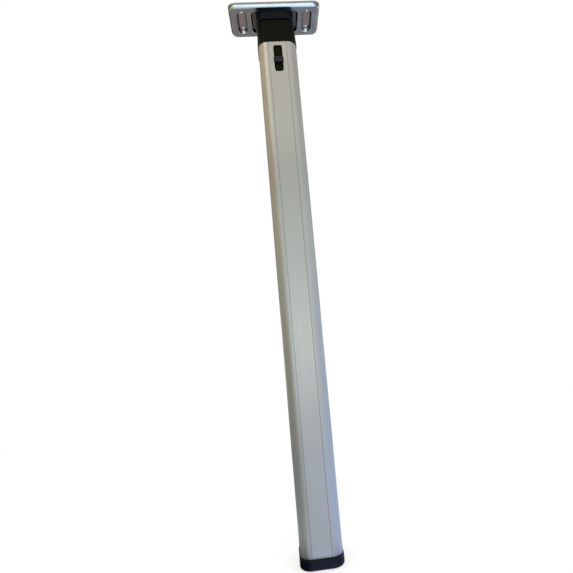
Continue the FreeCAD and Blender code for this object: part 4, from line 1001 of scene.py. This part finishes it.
def cut_cross(work, sizes, height):
    """A tapered cross drive inside the open rim at a height."""
    rim = open_edges(work, height)
    half = sizes.drive_width / 2
    square = bmesh.ops.create_grid(work, x_segments=1, y_segments=1, size=half)["verts"]
    bmesh.ops.translate(work, vec=(0.0, 0.0, height), verts=square)
    middle = square[0].link_faces[0]
    cross = [middle]
    for edge in list(middle.edges):
        outward = (edge.verts[0].co + edge.verts[1].co) / 2
        outward.z = 0.0
        step = outward.normalized() * (sizes.drive_reach - half)
        arm = bmesh.ops.extrude_edge_only(work, edges=[edge])["geom"]
        bmesh.ops.translate(work, vec=step, verts=only_verts(arm))
        cross += [item for item in arm if isinstance(item, bmesh.types.BMFace)]
    border = [edge for edge in open_edges(work, height) if edge not in rim]
    bmesh.ops.triangle_fill(work, edges=rim + border, use_beauty=True, normal=UP)
    floor = only_verts(bmesh.ops.extrude_face_region(work, geom=cross)["geom"])
    bmesh.ops.translate(work, vec=(0.0, 0.0, -sizes.drive_depth), verts=floor)
    bmesh.ops.scale(work, vec=(DRIVE_TAPER, DRIVE_TAPER, 1.0), verts=floor)


def make_screw(sizes, length):
    """A pan head screw that points down, with the underside of its head at zero height."""
    work = bmesh.new()
    add_thread(work, sizes, -SCREW_NECK, -length)
    radius, top = sizes.screw_head, sizes.screw_rise
    head = [(across * radius, up * top) for across, up in PAN_HEAD]
    turn_profile(work, [(sizes.thread_root, 0.0), *head], HEAD_STEPS)
    bmesh.ops.bridge_loops(work, edges=open_edges(work, -SCREW_NECK) + open_edges(work, 0.0))
    cut_cross(work, sizes, top)
    return work


def place_copies(work, places):
    """Set the work at the first place and copies of it at the others."""
    pattern = all_geometry(work)
    for place in places[1:]:
        copy = bmesh.ops.duplicate(work, geom=pattern)["geom"]
        bmesh.ops.translate(work, vec=place, verts=only_verts(copy))
    bmesh.ops.translate(work, vec=places[0], verts=only_verts(pattern))


def screw_axes(sizes, box):
    """The corners of a box round some screws, moved in to the axes of the outermost ones."""
    low, high = box
    inset = Vector((sizes.screw_head, sizes.screw_head, 0.0))
    return low + inset, high - inset


class TABLELEG_OT_add_screws(LegOperator, bpy.types.Operator):
    """Threaded cross-drive screws of the hinge base and of the spring seat"""

    bl_idname = "tableleg.add_screws"
    bl_label = "Screws"

    def execute(self, context):
        sizes = context.scene.leg_sizes
        steel = made_material("bright_steel")
        low, high = screw_axes(sizes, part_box("base_screws"))
        seat = high.z - sizes.screw_rise
        work = make_screw(sizes, seat - low.z)
        place_copies(work, [(x, y, seat) for x in (low.x, high.x) for y in (low.y, high.y)])
        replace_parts(new_piece("base_screw_set", work, "mount", steel), "base_screws")
        low, high = screw_axes(sizes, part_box("seat_screws"))
        seat = low.z + sizes.screw_rise
        work = make_screw(sizes, high.z - seat)
        turn_work(work, Matrix.Rotation(math.pi, 3, "X"))
        place_copies(work, [(x, 0.0, seat) for x in (low.x, high.x)])
        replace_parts(new_piece("seat_screw_set", work, "leg", steel), "seat_screws")
        return {"FINISHED"}


class TABLELEG_OT_add_rivet_stubs(LegOperator, bpy.types.Operator):
    """Broken mandrel stubs in the two blind rivets on the back of the tube"""

    bl_idname = "tableleg.add_rivet_stubs"
    bl_label = "Rivet stubs"

    def execute(self, context):
        radius = context.scene.leg_sizes.stub_radius
        outline = [(share * radius, height * MM) for share, height in MANDREL_STUB]
        work = bmesh.new()
        turn_profile(work, outline, SMALL_STEPS)
        turn_work(work, Matrix.Rotation(-math.pi / 2, 3, "X"))
        low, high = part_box("tube_rivets")
        hole_floor = high.y - MANDREL_HOLE
        height = (low.z + high.z) / 2
        place_copies(work, [(x, hole_floor, height) for x in (low.x + RIVET_HEAD, high.x - RIVET_HEAD)])
        new_piece("rivet_stubs", work, "leg", made_material("bright_steel"))
        return {"FINISHED"}


class TABLELEG_OT_add_gate_mark(LegOperator, bpy.types.Operator):
    """Trimmed gate mark on the front of the hinge head"""

    bl_idname = "tableleg.add_gate_mark"
    bl_label = "Gate mark"

    def execute(self, context):
        radius = context.scene.leg_sizes.gate_radius
        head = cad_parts["hinge_head"]
        found, place, facing, _ = head.ray_cast(IN_FRONT_OF_GATE, BACKWARDS)
        if not found:
            raise RuntimeError("the front of the hinge head was not found")
        outline = [(share * radius, height * MM) for share, height in GATE_MARK]
        work = bmesh.new()
        turn_profile(work, outline, SMALL_STEPS)
        bmesh.ops.holes_fill(work, edges=open_edges(work, outline[0][1]))
        turn_work(work, facing.to_track_quat("Z", "Y").to_matrix())
        bmesh.ops.translate(work, vec=place, verts=work.verts)
        colour = lighter(context.scene.leg_finishes.head_colour, TRIMMED)
        trimmed = make_moulding("trimmed_plastic", colour, roughness=0.3, gloss=0.3)
        new_piece("gate_mark", work, "leg", trimmed)
        return {"FINISHED"}


def add_lamp(name, place, size, radiance, colour, shows):
    """A flat studio lamp that faces the leg. Its power follows from its size and its brightness."""
    data = bpy.data.lights.new(name, "AREA")
    data.shape = "RECTANGLE"
    data.size, data.size_y = size
    data.energy = math.pi * size[0] * size[1] * radiance
    data.color = colour
    lamp = bpy.data.objects.new(name, data)
    bpy.context.scene.collection.objects.link(lamp)
    lamp.location = place
    aim = Vector(LAMP_TARGET) - Vector(place)
    lamp.rotation_euler = aim.to_track_quat("-Z", "Y").to_euler()
    lamp.visible_camera = False
    lamp.visible_glossy = shows


def add_panel(name, size, place, material):
    """A flat stage panel, centred on its place."""
    work = bmesh.new()
    bmesh.ops.create_grid(work, x_segments=1, y_segments=1, size=0.5)
    bmesh.ops.scale(work, vec=(*size, 1.0), verts=work.verts)
    panel = add_object(name, work, material)
    panel.location = place
    return panel


def make_card_material(name, axis, stops):
    """A glow that is shaded along one of the card's own axes."""
    material, tree = empty_material(name)
    first, last = stops[0][0], stops[-1][0]
    ramp = add_node(tree, "ValToRGB", {"Fac": map_range(tree, object_place(tree)[axis], first, last)})
    ramp.color_ramp.interpolation = "EASE"
    for _ in stops[2:]:
        ramp.color_ramp.elements.new(0.5)
    for element, (position, colour) in zip(ramp.color_ramp.elements, stops):
        element.position = (position - first) / (last - first)
        element.color = opaque(colour)
    glow = add_node(tree, "Emission", {"Color": ramp.outputs["Color"]})
    add_node(tree, "OutputMaterial", {"Surface": glow.outputs[0]})
    return material


def add_card(name, size, place, heading, axis, stops):
    """A reflector card that shows only in shiny surfaces, flat or upright with a heading."""
    card = add_panel(name, size, place, make_card_material(name, axis, stops))
    if heading is not None:
        card.rotation_euler = (math.pi / 2, 0.0, math.radians(heading))
    card.visible_camera = False
    card.visible_diffuse = False
    card.visible_shadow = False


def shown_rays(tree):
    """1 for the rays that show a background: those of the camera, of gloss and of glass."""
    path = add_node(tree, "LightPath")
    seen = math_node(tree, "MAXIMUM", path.outputs["Is Camera Ray"], path.outputs["Is Glossy Ray"])
    return math_node(tree, "MAXIMUM", seen, path.outputs["Is Transmission Ray"])


def make_world(studio):
    """White behind the object, and a softer even light on it."""
    world = bpy.data.worlds.new("studio_world")
    world.use_nodes = True
    tree = world.node_tree
    tree.nodes.clear()
    strength = spread(tree, shown_rays(tree), studio.ambient, 1.0)
    sky = add_node(tree, "Background", {"Color": opaque(WHITE), "Strength": strength})
    add_node(tree, "OutputWorld", {"Surface": sky.outputs[0]})
    return world


def make_floor_material(studio):
    """Pale floor that keeps shadows and fades into the white surroundings."""
    material, tree = empty_material("studio_floor")
    matt = add_node(tree, "BsdfDiffuse", {"Color": opaque(studio.floor_colour)})
    lift = product(tree, shown_rays(tree), studio.floor_lift)
    glow = add_node(tree, "Emission", {"Color": opaque(WHITE), "Strength": lift})
    lit = add_node(tree, "AddShader", {0: matt.outputs[0], 1: glow.outputs[0]})
    away = add_node(tree, "VectorMath", {0: on_piece(tree)}, operation="LENGTH").outputs["Value"]
    clear = add_node(tree, "BsdfTransparent")
    fade = map_range(tree, away, *FLOOR_FADE)
    mixed = add_node(tree, "MixShader", {0: fade, 1: lit.outputs[0], 2: clear.outputs[0]})
    add_node(tree, "OutputMaterial", {"Surface": mixed.outputs[0]})
    return material


def add_camera(scene, studio):
    """The camera that takes the main picture."""
    data = bpy.data.cameras.new("photo_camera")
    data.lens = studio.camera_lens
    data.sensor_width = SENSOR_WIDTH
    data.shift_x, data.shift_y = studio.camera_shift
    data.clip_start, data.clip_end = CAMERA_CLIP
    camera = bpy.data.objects.new("photo_camera", data)
    camera.location = studio.camera_place
    camera.rotation_euler = studio.camera_turn
    scene.collection.objects.link(camera)
    scene.camera = camera


class TABLELEG_OT_set_stage(LegOperator, bpy.types.Operator):
    """White surroundings, floor, reflector cards, lamps and the camera"""

    bl_idname = "tableleg.set_stage"
    bl_label = "Studio"

    def execute(self, context):
        scene = context.scene
        studio = scene.leg_studio
        scene.view_settings.view_transform = "Standard"
        scene.world = make_world(studio)
        add_panel("studio_floor", FLOOR_SIZE, FLOOR_PLACE, make_floor_material(studio))
        for card in CARDS:
            add_card(*card)
        for lamp in LAMPS:
            add_lamp(*lamp)
        add_camera(scene, studio)
        return {"FINISHED"}


OPERATORS = (
    TABLELEG_OT_finish_plate,
    TABLELEG_OT_finish_hinge,
    TABLELEG_OT_finish_tube,
    TABLELEG_OT_finish_foot,
    TABLELEG_OT_finish_slide,
    TABLELEG_OT_finish_hardware,
    TABLELEG_OT_add_screws,
    TABLELEG_OT_add_rivet_stubs,
    TABLELEG_OT_add_gate_mark,
    TABLELEG_OT_set_stage,
)


class TABLELEG_PT_sidebar(bpy.types.Panel):
    """The steps that dress the leg"""

    bl_label = "Folding Table Leg"
    bl_idname = "TABLELEG_PT_sidebar"
    bl_space_type = "VIEW_3D"
    bl_region_type = "UI"
    bl_category = "Table Leg"

    def draw(self, context):
        for operator in OPERATORS:
            self.layout.operator(operator.bl_idname)


CLASSES = (LegFinishes, LegSizes, LegStudio, *OPERATORS, TABLELEG_PT_sidebar)


def register():
    for item in CLASSES:
        bpy.utils.register_class(item)
    bpy.types.Scene.leg_finishes = PointerProperty(type=LegFinishes)
    bpy.types.Scene.leg_sizes = PointerProperty(type=LegSizes)
    bpy.types.Scene.leg_studio = PointerProperty(type=LegStudio)


def unregister():
    del bpy.types.Scene.leg_studio
    del bpy.types.Scene.leg_sizes
    del bpy.types.Scene.leg_finishes
    for item in reversed(CLASSES):
        bpy.utils.unregister_class(item)


def main():
    register()
    for operator in OPERATORS:
        group, name = operator.bl_idname.split(".")
        getattr(getattr(bpy.ops, group), name)()


if __name__ == "__main__":
    main()
